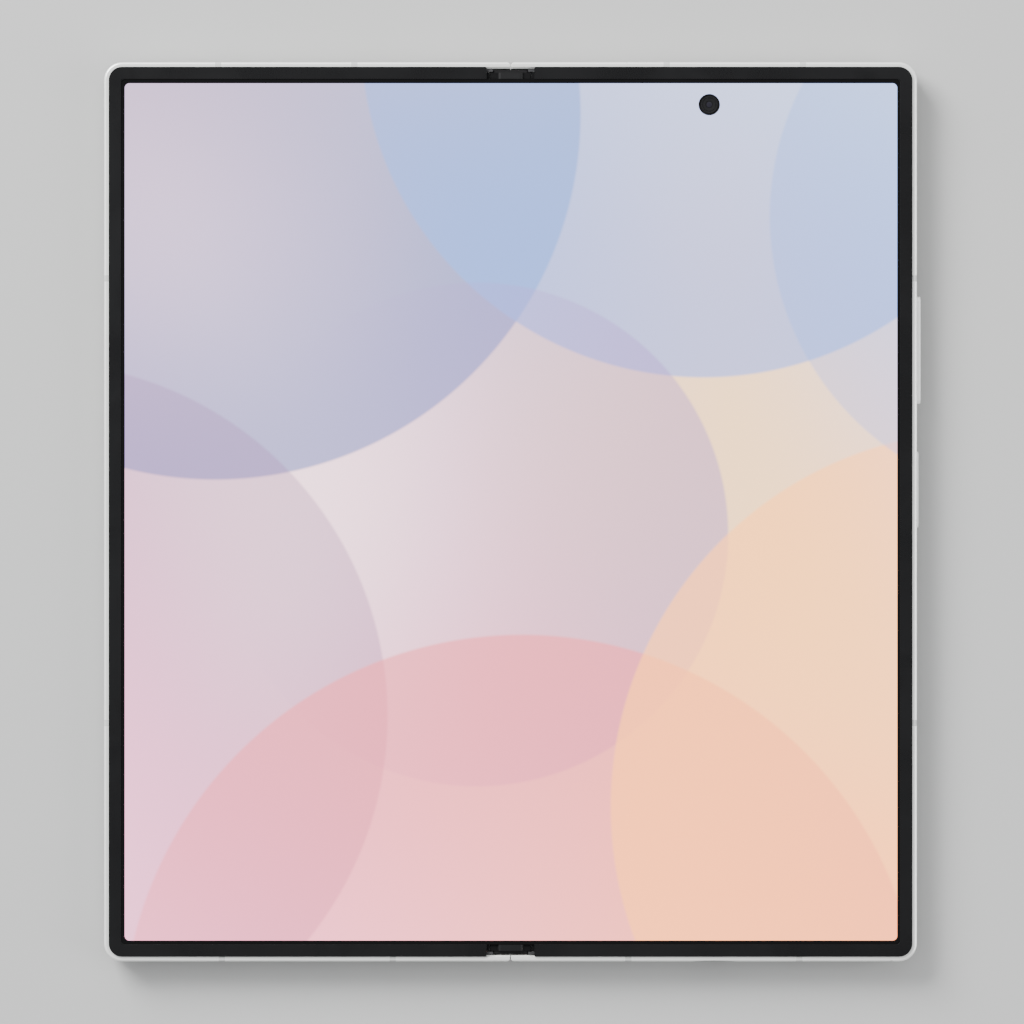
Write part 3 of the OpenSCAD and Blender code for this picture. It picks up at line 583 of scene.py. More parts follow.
FINISHES: dict[str, Finish] = {
    "spine_aluminium": Finish((200, 202, 200), (188, 190, 189), 0.9, 0.36, pattern=Pattern.BRUSHED),
    "cap_plastic": Finish((14, 14, 15), (17, 17, 18), 0.0, 0.52, grain=0.08, depth=0.003, specular=0.18),
    "hinge_steel": Finish((150, 151, 153), (136, 137, 140), 1.0, 0.3, pattern=Pattern.BRUSHED),
    "support_steel": Finish((132, 134, 138), (120, 122, 126), 1.0, 0.36, pattern=Pattern.SLOTS),
    "screw_steel": Finish((118, 119, 122), (104, 105, 108), 1.0, 0.32, pattern=Pattern.TURNS, grain=0.1),
    "flexible_screen": Finish((9, 9, 10), (11, 11, 12), 0.0, 0.22, depth=0.001, specular=0.25),
    "flex_polyimide": Finish((142, 84, 30), (122, 70, 24), 0.0, 0.38, pattern=Pattern.TRACES),
    "frame_aluminium": Finish((242, 242, 239), (236, 237, 234), 0.5, 0.36, grain=0.05, depth=0.004, wear=0.3),
    "antenna_plastic": Finish((188, 189, 186), (180, 181, 179), 0.0, 0.46, grain=0.08, depth=0.003),
    "black_glass": Finish((8, 8, 9), (11, 11, 12), 0.0, 0.08, 0.03, depth=0.0005, coat=1.0),
    "cover_panel": Finish((12, 12, 15), (15, 15, 18), 0.0, 0.2),
    "bezel_rubber": Finish((13, 13, 14), (16, 16, 17), 0.0, 0.3, 0.05, grain=0.06, depth=0.002,
                           specular=0.24),
    "battery_foil": Finish((46, 48, 52), (38, 40, 44), 0.5, 0.38, grain=0.6, depth=0.03),
    "circuit_board": Finish((16, 58, 40), (12, 48, 34), 0.0, 0.34, pattern=Pattern.TRACES),
    "camera_black": Finish((12, 12, 13), (15, 15, 17), 0.0, 0.36, pattern=Pattern.TURNS, grain=0.2,
                           depth=0.002, specular=0.25),
    "speaker_plastic": Finish((26, 26, 28), (32, 32, 34), 0.0, 0.5),
    "shield_steel": Finish((176, 178, 181), (164, 166, 170), 1.0, 0.3, pattern=Pattern.BRUSHED),
    "card_plastic": Finish((226, 227, 229), (216, 217, 220), 0.0, 0.4),
    "rear_glass_satin": Finish((212, 214, 212), (204, 206, 205), 0.25, 0.34, grain=0.04, depth=0.002,
                               coat=0.25, wear=0.1),
    "lens_glass": Finish((8, 9, 16), (14, 10, 26), 0.0, 0.05, 0.02, depth=0.0002, coat=1.0),
    "island_aluminium": Finish((206, 208, 206), (196, 198, 197), 0.8, 0.32, grain=0.05, depth=0.004),
    "ring_aluminium": Finish((214, 215, 214), (202, 203, 203), 1.0, 0.2, 0.04, pattern=Pattern.TURNS,
                             depth=0.002),
    "flash_lens": Finish((238, 222, 176), (230, 206, 140), 0.0, 0.24, coat=0.6),
    "coil_copper": Finish((186, 116, 80), (168, 98, 64), 1.0, 0.32, pattern=Pattern.TURNS, grain=0.55,
                          depth=0.08, centre=(39.15, -23.2)),
    "gear_brass": Finish((202, 172, 98), (188, 156, 84), 1.0, 0.28),
}


@dataclass(frozen=True)
class Disc:
    """A round veil of coloured light in the picture on the screen.

    Attributes:
        centre: Middle of the disc in millimetres.
        radius: Its radius.
        light: Its colour as emitted light.
        fade: Angle in degrees towards which it fades out.
        weight: How much of it shows on its full side.
        feather: Width of its soft edge.
    """

    centre: Point
    radius: float
    light: Colour
    fade: float
    weight: float = 0.9
    feather: float = 0.7


@dataclass(frozen=True)
class ScreenFinish:
    """The lit inner screen: a soft picture inside a dark border, mapped on rest places so that it bends.

    Attributes:
        lit: Width and height of the lit area.
        lit_centre: Middle of the lit area.
        lit_radius: Radius of its corners.
        map_size: Width and height that the map of rest places spans.
        corners: Emitted light at the top left, top right, low left and low right.
        discs: The veils over it, in the order in which they lie.
        border: Colour of the dark border.
        unlit: Colour of the picture area without its light.
        gloss: Least roughness and how much smudges add.
        smudge: Size of the smudges.
        grain: Size of the picture's grain and how much of it shows.
        feather: Width of the lit area's edge.
        specular: Strength of the plain reflection.
    """

    lit: Point = (135.95, 150.88)
    lit_centre: Point = (0.08, -0.02)
    lit_radius: float = 0.8
    map_size: Point = (150.0, 160.0)
    corners: tuple[Colour, Colour, Colour, Colour] = (
        (1.66, 1.13, 1.48), (1.9, 2.03, 2.41), (3.6, 1.41, 2.09), (3.93, 1.5, 0.69))
    discs: tuple[Disc, ...] = (
        Disc((-62.0, 8.0), 24.0, (3.44, 2.35, 2.62), 200.0, 0.85, 52.0),
        Disc((64.0, 12.0), 24.0, (3.14, 1.95, 0.96), 20.0, 0.9, 58.0),
        Disc((-52.0, 70.0), 64.0, (0.27, 0.48, 1.19), 120.0, 0.8),
        Disc((34.0, 84.0), 60.0, (0.46, 0.86, 2.1), 85.0, 0.75),
        Disc((-6.0, -4.0), 44.0, (0.83, 0.48, 1.34), 170.0, 0.62),
        Disc((-84.0, -36.0), 62.0, (0.73, 0.34, 0.8), 190.0, 0.5),
        Disc((2.0, -92.0), 70.0, (2.53, 0.47, 0.58), 262.0, 0.7),
        Disc((84.0, -52.0), 66.0, (4.27, 1.53, 0.29), 340.0, 0.6),
        Disc((96.0, 52.0), 50.0, (0.46, 0.86, 2.1), 30.0, 0.45),
    )
    border: Colour = (0.0024, 0.0024, 0.0026)
    unlit: Colour = (0.007, 0.007, 0.008)
    gloss: Point = (0.16, 0.08)
    smudge: float = 22.0
    grain: Point = (0.1, 0.03)
    feather: float = 0.06
    specular: float = 0.2

    def make(self, name: str, effects: Effects) -> bpy.types.Material:
        """Build the screen's material.

        Args:
            name: The material's name.
            effects: The shared effect groups.

        Returns:
            The material.
        """
        material, graph, shader = start_material(name)
        mapping = graph.add("ShaderNodeMapping")
        mapping.inputs["Scale"].default_value = (*self.map_size, 1.0)
        mapping.inputs["Location"].default_value = (-self.map_size[0] / 2, -self.map_size[1] / 2, 0.0)
        graph.feed(mapping.inputs["Vector"], graph.add("ShaderNodeUVMap", uv_map="rest_place").outputs[0])
        point = mapping.outputs[0]
        across, up, _ = graph.parts(point)
        right = graph.span(across, -self.lit[0] / 2, self.lit[0] / 2)
        top_left, top_right, low_left, low_right = self.corners
        picture = graph.mix(graph.span(up, -self.lit[1] / 2, self.lit[1] / 2),
                            graph.mix(right, low_left, low_right), graph.mix(right, top_left, top_right))
        for disc in self.discs:
            turn = math.radians(disc.fade)
            veil = graph.place(effects.disc, Vector=point, Centre=(*disc.centre, 0.0), Radius=disc.radius,
                               Fade=(math.cos(turn), math.sin(turn), 0.0), Feather=disc.feather)["Mask"]
            picture = graph.mix(graph.calc("MULTIPLY", veil, disc.weight), picture, disc.light)
        grain = graph.place(effects.grain, Vector=point, Size=self.grain[0])["Shade"]
        picture = graph.mix(graph.calc("MULTIPLY", grain, self.grain[1]), picture, (1.0, 1.0, 1.0))
        middle = graph.vector("SUBTRACT", point, (*self.lit_centre, 0.0))
        inside = graph.place(effects.plate, Vector=middle, Half=(self.lit[0] / 2, self.lit[1] / 2, 0.0),
                             Radius=self.lit_radius, Feather=self.feather)["Mask"]
        graph.feed(shader.inputs["Emission Color"], graph.mix(inside, (0.0, 0.0, 0.0), picture))
        shader.inputs["Emission Strength"].default_value = 1.0
        graph.feed(shader.inputs["Base Color"], graph.mix(inside, self.border, self.unlit))
        smudge = graph.place(effects.smudge, Vector=point, Size=self.smudge)["Mask"]
        rough = graph.calc("MULTIPLY_ADD", smudge, self.gloss[1], self.gloss[0])
        graph.feed(shader.inputs["Roughness"], rough)
        shader.inputs["Specular IOR Level"].default_value = self.specular
        return material


@dataclass(frozen=True)
class CoverFinish:
    """The black glass of the outer screen, with the dark screen and its camera just visible behind it.

    Attributes:
        centre: Middle of the dark screen.
        half: Its half width and half height.
        corner: Radius of its corners.
        camera_at: Where the camera looks out.
        rings: Radius and colour of the camera's rings, from the outside in.
        glass: Colour of the glass.
        panel: Colour of the dark screen.
        gloss: Least roughness and how much smudges add.
        smudge: Size of the smudges.
        feather: Width of the screen's and the rings' edges.
    """

    centre: Point = (-35.7, 0.0)
    half: Point = (33.1, 76.0)
    corner: float = 2.4
    camera_at: Point = (-36.0, 71.7)
    rings: tuple[tuple[float, Colour], ...] = (
        (2.1, (0.0008, 0.0008, 0.0009)), (1.2, (0.006, 0.006, 0.007)), (0.95, (0.003, 0.0025, 0.012)))
    glass: Colour = (0.0022, 0.0022, 0.0024)
    panel: Colour = (0.0052, 0.0053, 0.0062)
    gloss: Point = (0.05, 0.06)
    smudge: float = 18.0
    feather: float = 0.05

    def make(self, name: str, effects: Effects) -> bpy.types.Material:
        """Build the glass's material.

        Args:
            name: The material's name.
            effects: The shared effect groups.

        Returns:
            The material.
        """
        material, graph, shader = start_material(name)
        point = graph.millimetres()
        inside = graph.place(effects.plate, Vector=graph.vector("SUBTRACT", point, (*self.centre, 0.0)),
                             Half=(*self.half, 0.0), Radius=self.corner, Feather=self.feather)["Mask"]
        colour = graph.mix(inside, self.glass, self.panel)
        for radius, tint in self.rings:
            spot = graph.place(effects.disc, Vector=point, Centre=(*self.camera_at, 0.0), Radius=radius,
                               Fade=(0.0, 0.0, 0.0), Feather=self.feather)["Mask"]
            colour = graph.mix(graph.calc("MULTIPLY", spot, 2.0), colour, tint)
        graph.feed(shader.inputs["Base Color"], colour)
        smudge = graph.place(effects.smudge, Vector=point, Size=self.smudge)["Mask"]
        rough = graph.calc("MULTIPLY_ADD", smudge, self.gloss[1], self.gloss[0])
        graph.feed(shader.inputs["Roughness"], rough)
        return material


class Paint:
    """All the materials of the phone, each made once."""

    def __init__(self) -> None:
        """Build the shared effects and every finish."""
        self.effects = Effects()
        self.made = {slot: finish.make(slot, self.effects) for slot, finish in FINISHES.items()}
        self.screen = ScreenFinish().make("lit_screen", self.effects)
        self.cover = CoverFinish().make("cover_glass_black", self.effects)
        tab = Finish((50, 50, 51), (44, 44, 46), 0.0, 0.5, depth=0.003, specular=0.25)
        # The recess finish is a darker copy of the black cap plastic: painted shade for the low steps at the
        # bezel ends and the cap's shoulders.
        recess_painted_shade = Finish((9, 9, 10), (11, 11, 12), 0.0, 0.55, depth=0.003, specular=0.1)
        # The key finish is a brighter, less metallic copy of the frame aluminium: painted light on keys that
        # lie in the rim's shadow; its rubbed edge is wear.
        key = Finish((254, 254, 252), (250, 250, 248), 0.2, 0.36, grain=0.05, depth=0.004, wear=0.3)
        self.tab = tab.make("tab_grey", self.effects)
        self.recess_painted_shade = recess_painted_shade.make("painted_shade_black", self.effects)
        self.key = key.make("key_aluminium_painted_light", self.effects)

    def dress_frame(self) -> None:
        """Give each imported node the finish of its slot."""
        for part in frame["record"]["subparts"]:
            node = frame["nodes"][part["node"]]
            finish = self.made[part["material_slot"]]
            if not node.material_slots:
                node.data.materials.append(finish)
            for slot in node.material_slots:
                slot.material = finish
        frame["nodes"]["cover_glass"].material_slots[0].material = self.cover


# ---------- meshes ----------

def rectangle(x0: float, x1: float, y0: float, y1: float) -> list[Point]:
    """List a rectangle's corners in turn.

    Args:
        x0: One side.
        x1: The other side.
        y0: One end.
        y1: The other end.

    Returns:
        The corners, starting at x0 and y0.
    """
    return [(x0, y0), (x1, y0), (x1, y1), (x0, y1)]


class Piece:
    """A mesh in the making, in millimetres, with the operations that the sub-assemblies share."""

    def __init__(self, name: str) -> None:
        """Start an empty mesh."""
        self.name = name
        self.bm = bmesh.new()

    def outline(self, corners: Sequence[Point], radii: Sequence[float], z: float,
                segments: int = 8) -> bmesh.types.BMFace:
        """Draw a flat face and round its corners.

        Args:
            corners: The corners in turn.
            radii: Each corner's radius.
            z: Height of the face.
            segments: Steps of a round corner.

        Returns:
            The face.
        """
        marks = [self.bm.verts.new((x, y, z)) for x, y in corners]
        before = set(self.bm.faces)
        self.bm.faces.new(marks)
        for mark, radius in zip(marks, radii):
            if radius:
                bmesh.ops.bevel(self.bm, geom=[mark], offset=radius, offset_type="OFFSET", segments=segments,
                                profile=0.5, affect="VERTICES", material=-1, clamp_overlap=False)
        return next(face for face in self.bm.faces if face not in before and len(face.verts) >= len(corners))

    def raise_faces(self, faces: Iterable[bmesh.types.BMFace], rise: float) -> list[bmesh.types.BMFace]:
        """Extrude faces along Z.

        Args:
            faces: The faces to extrude.
            rise: How far, which may be negative.

        Returns:
            The faces at the far end.
        """
        made = bmesh.ops.extrude_face_region(self.bm, geom=list(faces), use_keep_orig=True)["geom"]
        far = [item for item in made if isinstance(item, bmesh.types.BMVert)]
        bmesh.ops.translate(self.bm, vec=(0.0, 0.0, rise), verts=far)
        return [item for item in made if isinstance(item, bmesh.types.BMFace)]

    def soften(self, edges: Iterable[bmesh.types.BMEdge], width: float, segments: int = 3) -> None:
        """Round edges off."""
        bmesh.ops.bevel(self.bm, geom=list(edges), offset=width, offset_type="OFFSET", segments=segments,
                        profile=0.5, affect="EDGES", material=-1, clamp_overlap=True)

    def rim(self, z: float, wanted: Callable[[Vector], bool]) -> list[bmesh.types.BMEdge]:
        """Find the sharp edges at a height whose middles pass a test.

        Args:
            z: The height.
            wanted: The test on an edge's middle.

        Returns:
            The edges.
        """
        self.bm.normal_update()
        return [edge for edge in self.bm.edges
                if all(abs(vert.co.z - z) < CLOSE for vert in edge.verts) and len(edge.link_faces) == 2
                and edge.calc_face_angle() > RIM_ANGLE and wanted((edge.verts[0].co + edge.verts[1].co) / 2)]

    def prism(self, corners: Sequence[Point], radii: Sequence[float], y0: float,
              y1: float) -> set[bmesh.types.BMFace]:
        """Add a bar along Y whose section is an outline of X and Z.

        Args:
            corners: The section's corners in turn.
            radii: Each corner's radius.
            y0: Where the bar starts.
            y1: Where it ends.

        Returns:
            The bar's faces.
        """
        old = set(self.bm.verts)
        face = self.outline(corners, radii, 0.0, segments=10)
        self.raise_faces([face], y0 - y1)
        new = [vert for vert in self.bm.verts if vert not in old]
        turned = Matrix.Rotation(math.pi / 2, 3, "X")
        bmesh.ops.rotate(self.bm, cent=(0.0, 0.0, 0.0), matrix=turned, verts=new)
        bmesh.ops.translate(self.bm, vec=(0.0, y0, 0.0), verts=new)
        return {face for vert in new for face in vert.link_faces}

    def lathe(self, profile: Sequence[Point], centre: Point, steps: int = 56) -> None:
        """Spin a profile of radius and height about an upright axis.

        Args:
            profile: The profile, from the axis round to the axis.
            centre: Where the axis stands.
            steps: Steps of the full turn.
        """
        marks = [self.bm.verts.new((centre[0] + r, centre[1], z)) for r, z in profile]
        edges = [self.bm.edges.new(pair) for pair in zip(marks, marks[1:])]
        bmesh.ops.spin(self.bm, geom=marks + edges, cent=(*centre, 0.0), axis=(0.0, 0.0, 1.0),
                       angle=2 * math.pi, steps=steps, use_merge=True)

    def tint_inside(self, centre: Point, radius: float, index: int) -> None:
        """Give the faces within a radius of an upright axis another material.

        Args:
            centre: Where the axis stands.
            radius: The radius.
            index: The material's index.
        """
        for face in self.bm.faces:
            middle = face.calc_center_median()
            if math.hypot(middle.x - centre[0], middle.y - centre[1]) < radius:
                face.material_index = index

    def mirror_x(self) -> None:
        """Turn the piece over to the other side of the seam."""
        bmesh.ops.scale(self.bm, vec=(-1.0, 1.0, 1.0), verts=self.bm.verts[:])

    def map_rest(self, size: Point) -> None:
        """Store each point's rest place as a map, so that a pattern bends with the piece.

        Args:
            size: Width and height of the map in millimetres.
        """
        layer = self.bm.loops.layers.uv.new("rest_place")
        for face in self.bm.faces:
            for loop in face.loops:
                place = loop.vert.co
                loop[layer].uv = (place.x / size[0] + 0.5, place.y / size[1] + 0.5)

    def finish(self, materials: Sequence[bpy.types.Material], slot: str, nodes: Sequence[str],
               even: bool = True) -> bpy.types.Object:
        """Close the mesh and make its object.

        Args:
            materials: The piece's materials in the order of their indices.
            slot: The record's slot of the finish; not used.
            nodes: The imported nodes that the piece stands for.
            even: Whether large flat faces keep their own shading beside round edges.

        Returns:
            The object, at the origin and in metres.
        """
        bmesh.ops.remove_doubles(self.bm, verts=self.bm.verts[:], dist=CLOSE)
        bmesh.ops.recalc_face_normals(self.bm, faces=self.bm.faces[:])
        for face in self.bm.faces:
            face.smooth = True
        for edge in self.bm.edges:
            edge.smooth = len(edge.link_faces) == 2 and edge.calc_face_angle() < SMOOTH_ANGLE
        bmesh.ops.scale(self.bm, vec=(MM,) * 3, verts=self.bm.verts[:])
        mesh = bpy.data.meshes.new(self.name)
        self.bm.to_mesh(mesh)
        self.bm.free()
        thing = bpy.data.objects.new(self.name, mesh)
        bpy.context.scene.collection.objects.link(thing)
        for material in materials:
            mesh.materials.append(material)
        if even:
            thing.modifiers.new("even_shading", "WEIGHTED_NORMAL").keep_sharp = True
        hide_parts(*nodes)
        LOG.info("%s: %d faces, stands for %s", self.name, len(mesh.polygons), ", ".join(nodes))
        return thing


class Side(Enum):
    """A half of the phone, seen from the inner screen."""

    LEFT = "left"
    RIGHT = "right"

    @property
    def body(self) -> str:
        """Name of the half's body."""
        return f"{self.value}_half"


@dataclass
class Shell:
    """Sizes of the housing that other pieces share.

    Attributes:
        half_w: Half of the open phone's width.
        half_h: Half of its height.
        corner: Radius of its outer corners.
    """

    half_w: float = 71.6
    half_h: float = 79.2
    corner: float = 3.2


@dataclass
class Bezels:
    """The raised soft border round the inner screen, one open loop on each half.

    Attributes:
        inset: Distance from the phone's outer edge.
        width: Width of the border beside the screen.
        lip: How far its thin upper edge reaches over the screen.
        stop: Distance of its ends from the seam.
        low: Its underside.
        lip_z: Underside of the thin edge.
        lip_drop: How far the thin edge's top lies under the border's.
        high: Its top.
        inner_corner: Radius of its inner corners.
        end_cut: Radius of its outer corners at the ends.
        outer_round: How far its outer edge is rounded.
        inner_round: How far its inner edge is rounded.
        step_low: Underside of step and tab.
        step: Low step at each end beside the spine's cap, darkened with painted shade: inner x, inner and
            outer y, top.
        tab: Small grey tab at each end: inner x, inner and outer y, top.
        overlap: How far step and tab reach into the border.
        fine_round: Radius of their corners beside the seam.
    """

    inset: float = 0.86
    width: float = 2.0
    lip: float = 0.18
    stop: float = 4.2
    low: float = 5.45
    lip_z: float = 6.01
    lip_drop: float = 0.01
    high: float = 6.2
    inner_corner: float = 0.5
    end_cut: float = 0.3
    outer_round: float = 0.6
    inner_round: float = 0.08
    step_low: float = 5.5
    step: tuple[float, float, float, float] = (3.655, 76.23, 77.35, 5.7)
    tab: tuple[float, float, float, float] = (3.1, 77.5, 77.95, 5.75)
    overlap: float = 0.1
    fine_round: float = 0.02

    def build(self, paint: Paint) -> None:
        """Build both halves' borders."""
        for side in Side:
            self.build_side(side, paint)

    def add_loop(self, piece: Piece, outer: float, inner: float, low: float, high: float) -> None:
        """Add an open loop along the phone's edge.

        Args:
            piece: The piece to add to.
            outer: Distance of its outer side from the phone's edge.
            inner: Distance of its inner side.
            low: Its underside.
            high: Its top.
        """
        out_x, out_y = Shell.half_w - outer, Shell.half_h - outer
        in_x, in_y = Shell.half_w - inner, Shell.half_h - inner
        upper = [(out_x, out_y), (self.stop, out_y), (self.stop, in_y), (in_x, in_y)]
        radii = [Shell.corner - outer, self.end_cut, 0.1, self.inner_corner]
        corners = upper + [(x, -y) for x, y in reversed(upper)]
        piece.raise_faces([piece.outline(corners, radii + radii[::-1], low)], high - low)

    def build_side(self, side: Side, paint: Paint) -> None:
        """Build one half's border.

        Args:
            side: The half.
            paint: The materials.
        """
        piece = Piece(f"{side.value}_screen_border")
        middle = self.inset + self.width / 2
        self.add_loop(piece, self.inset, self.inset + self.width, self.low, self.high)
        outer = piece.rim(self.high, lambda p: p.x > Shell.half_w - middle
                          or abs(p.y) > Shell.half_h - middle and p.x > self.stop + 0.01)
        piece.soften(outer, self.outer_round, segments=6)
        lip_top = self.high - self.lip_drop
        self.add_loop(piece, middle, self.inset + self.width + self.lip, self.lip_z, lip_top)
        piece.soften(piece.rim(lip_top, lambda p: True), self.inner_round, segments=2)
        # Index 1 gives each low step the darker recess finish, painted shade; index 2 gives each tab the grey
        # finish.
        for index, (x, y0, y1, top) in enumerate((self.step, self.tab), start=1):
            for sign in (1, -1):
                corners = rectangle(x, self.stop + self.overlap, sign * y0, sign * y1)
                radii = [self.fine_round, 0.0, 0.0, self.fine_round]
                face = piece.outline(corners, radii, self.step_low, segments=3)
                made = piece.raise_faces([face], top - self.step_low)
                for face in {link for vert in made[0].verts for link in vert.link_faces}:
                    face.material_index = index
        if side is Side.LEFT:
            piece.mirror_x()
        thing = piece.finish([paint.made["bezel_rubber"], paint.recess_painted_shade, paint.tab], "bezel_rubber",
                             [f"{side.value}_bezel"])
        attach(thing, side.body)


@dataclass
class HingeEnds:
    """The black caps that close the spine's ends.

    Attributes:
        start_y: Inner face of a cap.
        step_y: Outer face of its crown and shoulders.
        shell_y: Where the spine's shell ends and the cap's lid begins.
        end_y: Outer face of the lid.
        base_z: Underside of the crown, the shoulders and the band.
        crown: Half width, top and corner radius of the crown between the bezels.
        shoulder: The same for the shoulders beside the crown, darkened with painted shade.
        band: The same for the low band behind it.
        shell: Half width, underside and corner radius of the lid.
        plug: The same for the plug inside the spine.
        spine_top: Top of the lid and the plug.
        stagger: How far faces that would lie in one plane are kept apart.
        band_sink: How far the band's ends lie in from the crown's and the lid's faces.
    """

    start_y: float = 76.23
    step_y: float = 77.35
    shell_y: float = 77.3
    end_y: float = 77.9
    crown: tuple[float, float, float] = (2.35, 6.07, 0.7)
    shoulder: tuple[float, float, float] = (3.63, 5.6, 0.15)
    band: tuple[float, float, float] = (2.95, 5.45, 0.1)
    base_z: float = 4.6
    shell: tuple[float, float, float] = (3.7, 2.75, 2.3)
    plug: tuple[float, float, float] = (3.15, 3.3, 1.75)
    spine_top: float = 5.1
    stagger: float = 0.02
    band_sink: float = 0.05

    def build(self, paint: Paint) -> None:
        """Build both caps.

        Args:
            paint: The materials.
        """
        for name, turn in (("top", 0.0), ("bottom", math.pi)):
            piece = Piece(f"hinge_cap_{name}")
            # Index 1 gives the shoulders the darker recess finish, painted shade.
            bars = ((0, self.crown, self.start_y, self.step_y - self.stagger),
                    (1, self.shoulder, self.start_y + self.stagger, self.step_y),
                    (0, self.band, self.step_y - self.band_sink, self.end_y - self.band_sink))
            for index, (half, top, radius), y0, y1 in bars:
                corners = rectangle(-half, half, self.base_z, top)
                for face in piece.prism(corners, [0.0, 0.0, radius, radius], y0, y1):
                    face.material_index = index
            bars = ((self.shell, self.shell_y + self.stagger / 2, self.end_y),
                    (self.plug, self.start_y, self.shell_y + self.stagger))
            for (half, low, radius), y0, y1 in bars:
                corners = rectangle(-half, half, low, self.spine_top)
                piece.prism(corners, [radius, radius, 0.0, 0.0], y0, y1)
            turned = Matrix.Rotation(turn, 3, "Z")
            bmesh.ops.rotate(piece.bm, cent=(0.0, 0.0, 0.0), matrix=turned, verts=piece.bm.verts[:])
            looks = [paint.made["cap_plastic"], paint.recess_painted_shade]
            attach(piece.finish(looks, "cap_plastic", [f"hinge_end_cap_{name}"]), "spine")


@dataclass
class InnerScreen:
    """The folding screen as two sheets that meet at the seam.

    Attributes:
        half_w: Half of the screen's width.
        half_h: Half of its height.
        corner: Radius of its corners.
        low: Its underside.
        high: Its top.
        bend_start: Distance from the seam at which it starts to turn with the half; not used.
        bend_end: Distance from the seam out to which the sheet is cut into strips.
        strip: Width of the strips that let it bend.
        hole: Middle of the camera's hole.
        hole_r: Radius of the hole.
    """

    half_w: float = 68.64
    half_h: float = 76.2
    corner: float = 0.9
    low: float = 5.5
    high: float = 6.0
    bend_start: float = 0.2
    bend_end: float = 5.0
    strip: float = 0.25
    hole: Point = (35.0, 71.7)
    hole_r: float = 1.9

    def build(self, paint: Paint) -> None:
        """Build both sheets."""
        for side in Side:
            self.build_side(side, paint)

    def build_side(self, side: Side, paint: Paint) -> None:
        """Build one sheet, cut into strips near the seam.

        Args:
            side: The half.
            paint: The materials.
        """
        piece = Piece(f"inner_screen_{side.value}")
        bm = piece.bm
        corners = rectangle(0.0, self.half_w, -self.half_h, self.half_h)
        face = piece.outline(corners, [0.0, self.corner, self.corner, 0.0], self.high)
        if side is Side.RIGHT:
            bmesh.ops.delete(bm, geom=[face], context="FACES_ONLY")
            bmesh.ops.create_circle(bm, segments=48, radius=self.hole_r,
                                    matrix=Matrix.Translation((*self.hole, self.high)))
            bmesh.ops.triangle_fill(bm, use_beauty=True, edges=bm.edges[:])
        for index in range(1, round(self.bend_end / self.strip) + 3):
            bmesh.ops.bisect_plane(bm, geom=bm.verts[:] + bm.edges[:] + bm.faces[:], dist=1e-5,
                                   plane_co=(index * self.strip, 0.0, 0.0), plane_no=(1.0, 0.0, 0.0))
        piece.raise_faces(bm.faces[:], self.low - self.high)
        if side is Side.LEFT:
            piece.mirror_x()
        piece.map_rest(ScreenFinish.map_size)
        nodes = [f"main_display_{side.value}"] + (["display_fold_strip"] if side is Side.LEFT else [])
        thing = piece.finish([paint.screen], "flexible_screen", nodes, even=False)
        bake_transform(thing)


@dataclass
class HingeCable:
    """The flat cable that crosses the hinge, as one run for each half.

    Attributes:
        route: The cable's line in X and Z, from the seam outwards.
        turn: How far its corners are rounded.
        width: Width of the cable.
        thickness: Its thickness.
        bend_start: Distance from the seam at which it starts to turn with the half; not used.
        bend_end: Distance at which it has turned with the half; not used.
        bend_z: Height at which the bend is measured; not used.
    """

    route: tuple[Point, ...] = ((0.0, 3.3), (1.2, 3.3), (2.0, 5.17), (4.0, 5.17), (6.0, 4.12), (9.18, 4.12))
    turn: float = 0.3
    width: float = 16.0
    thickness: float = 0.1
    bend_start: float = 3.0
    bend_end: float = 6.0
    bend_z: float = 5.0

    def build(self, paint: Paint) -> None:
        """Build both runs.

        Args:
            paint: The materials.
        """
        for side in Side:
            piece = Piece(f"hinge_cable_{side.value}")
            bm = piece.bm
            marks = [bm.verts.new((x, -self.width / 2, z)) for x, z in self.route]
            edges = [bm.edges.new(pair) for pair in zip(marks, marks[1:])]
            bmesh.ops.bevel(bm, geom=marks[1:-1], offset=self.turn, offset_type="OFFSET", segments=3,
                            profile=0.5, affect="VERTICES", material=-1, clamp_overlap=True)
            bmesh.ops.subdivide_edges(bm, edges=bm.edges[:], cuts=2)
            made = bmesh.ops.extrude_edge_only(bm, edges=bm.edges[:])["geom"]
            far = [item for item in made if isinstance(item, bmesh.types.BMVert)]
            bmesh.ops.translate(bm, vec=(0.0, self.width, 0.0), verts=far)
            bmesh.ops.recalc_face_normals(bm, faces=bm.faces[:])
            bmesh.ops.solidify(bm, geom=bm.faces[:], thickness=self.thickness)
            if side is Side.LEFT:
                piece.mirror_x()
            piece.map_rest(ScreenFinish.map_size)
            nodes = ["hinge_flex_cable"] if side is Side.LEFT else []
            thing = piece.finish([paint.made["flex_polyimide"]], "flex_polyimide", nodes, even=False)
            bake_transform(thing)


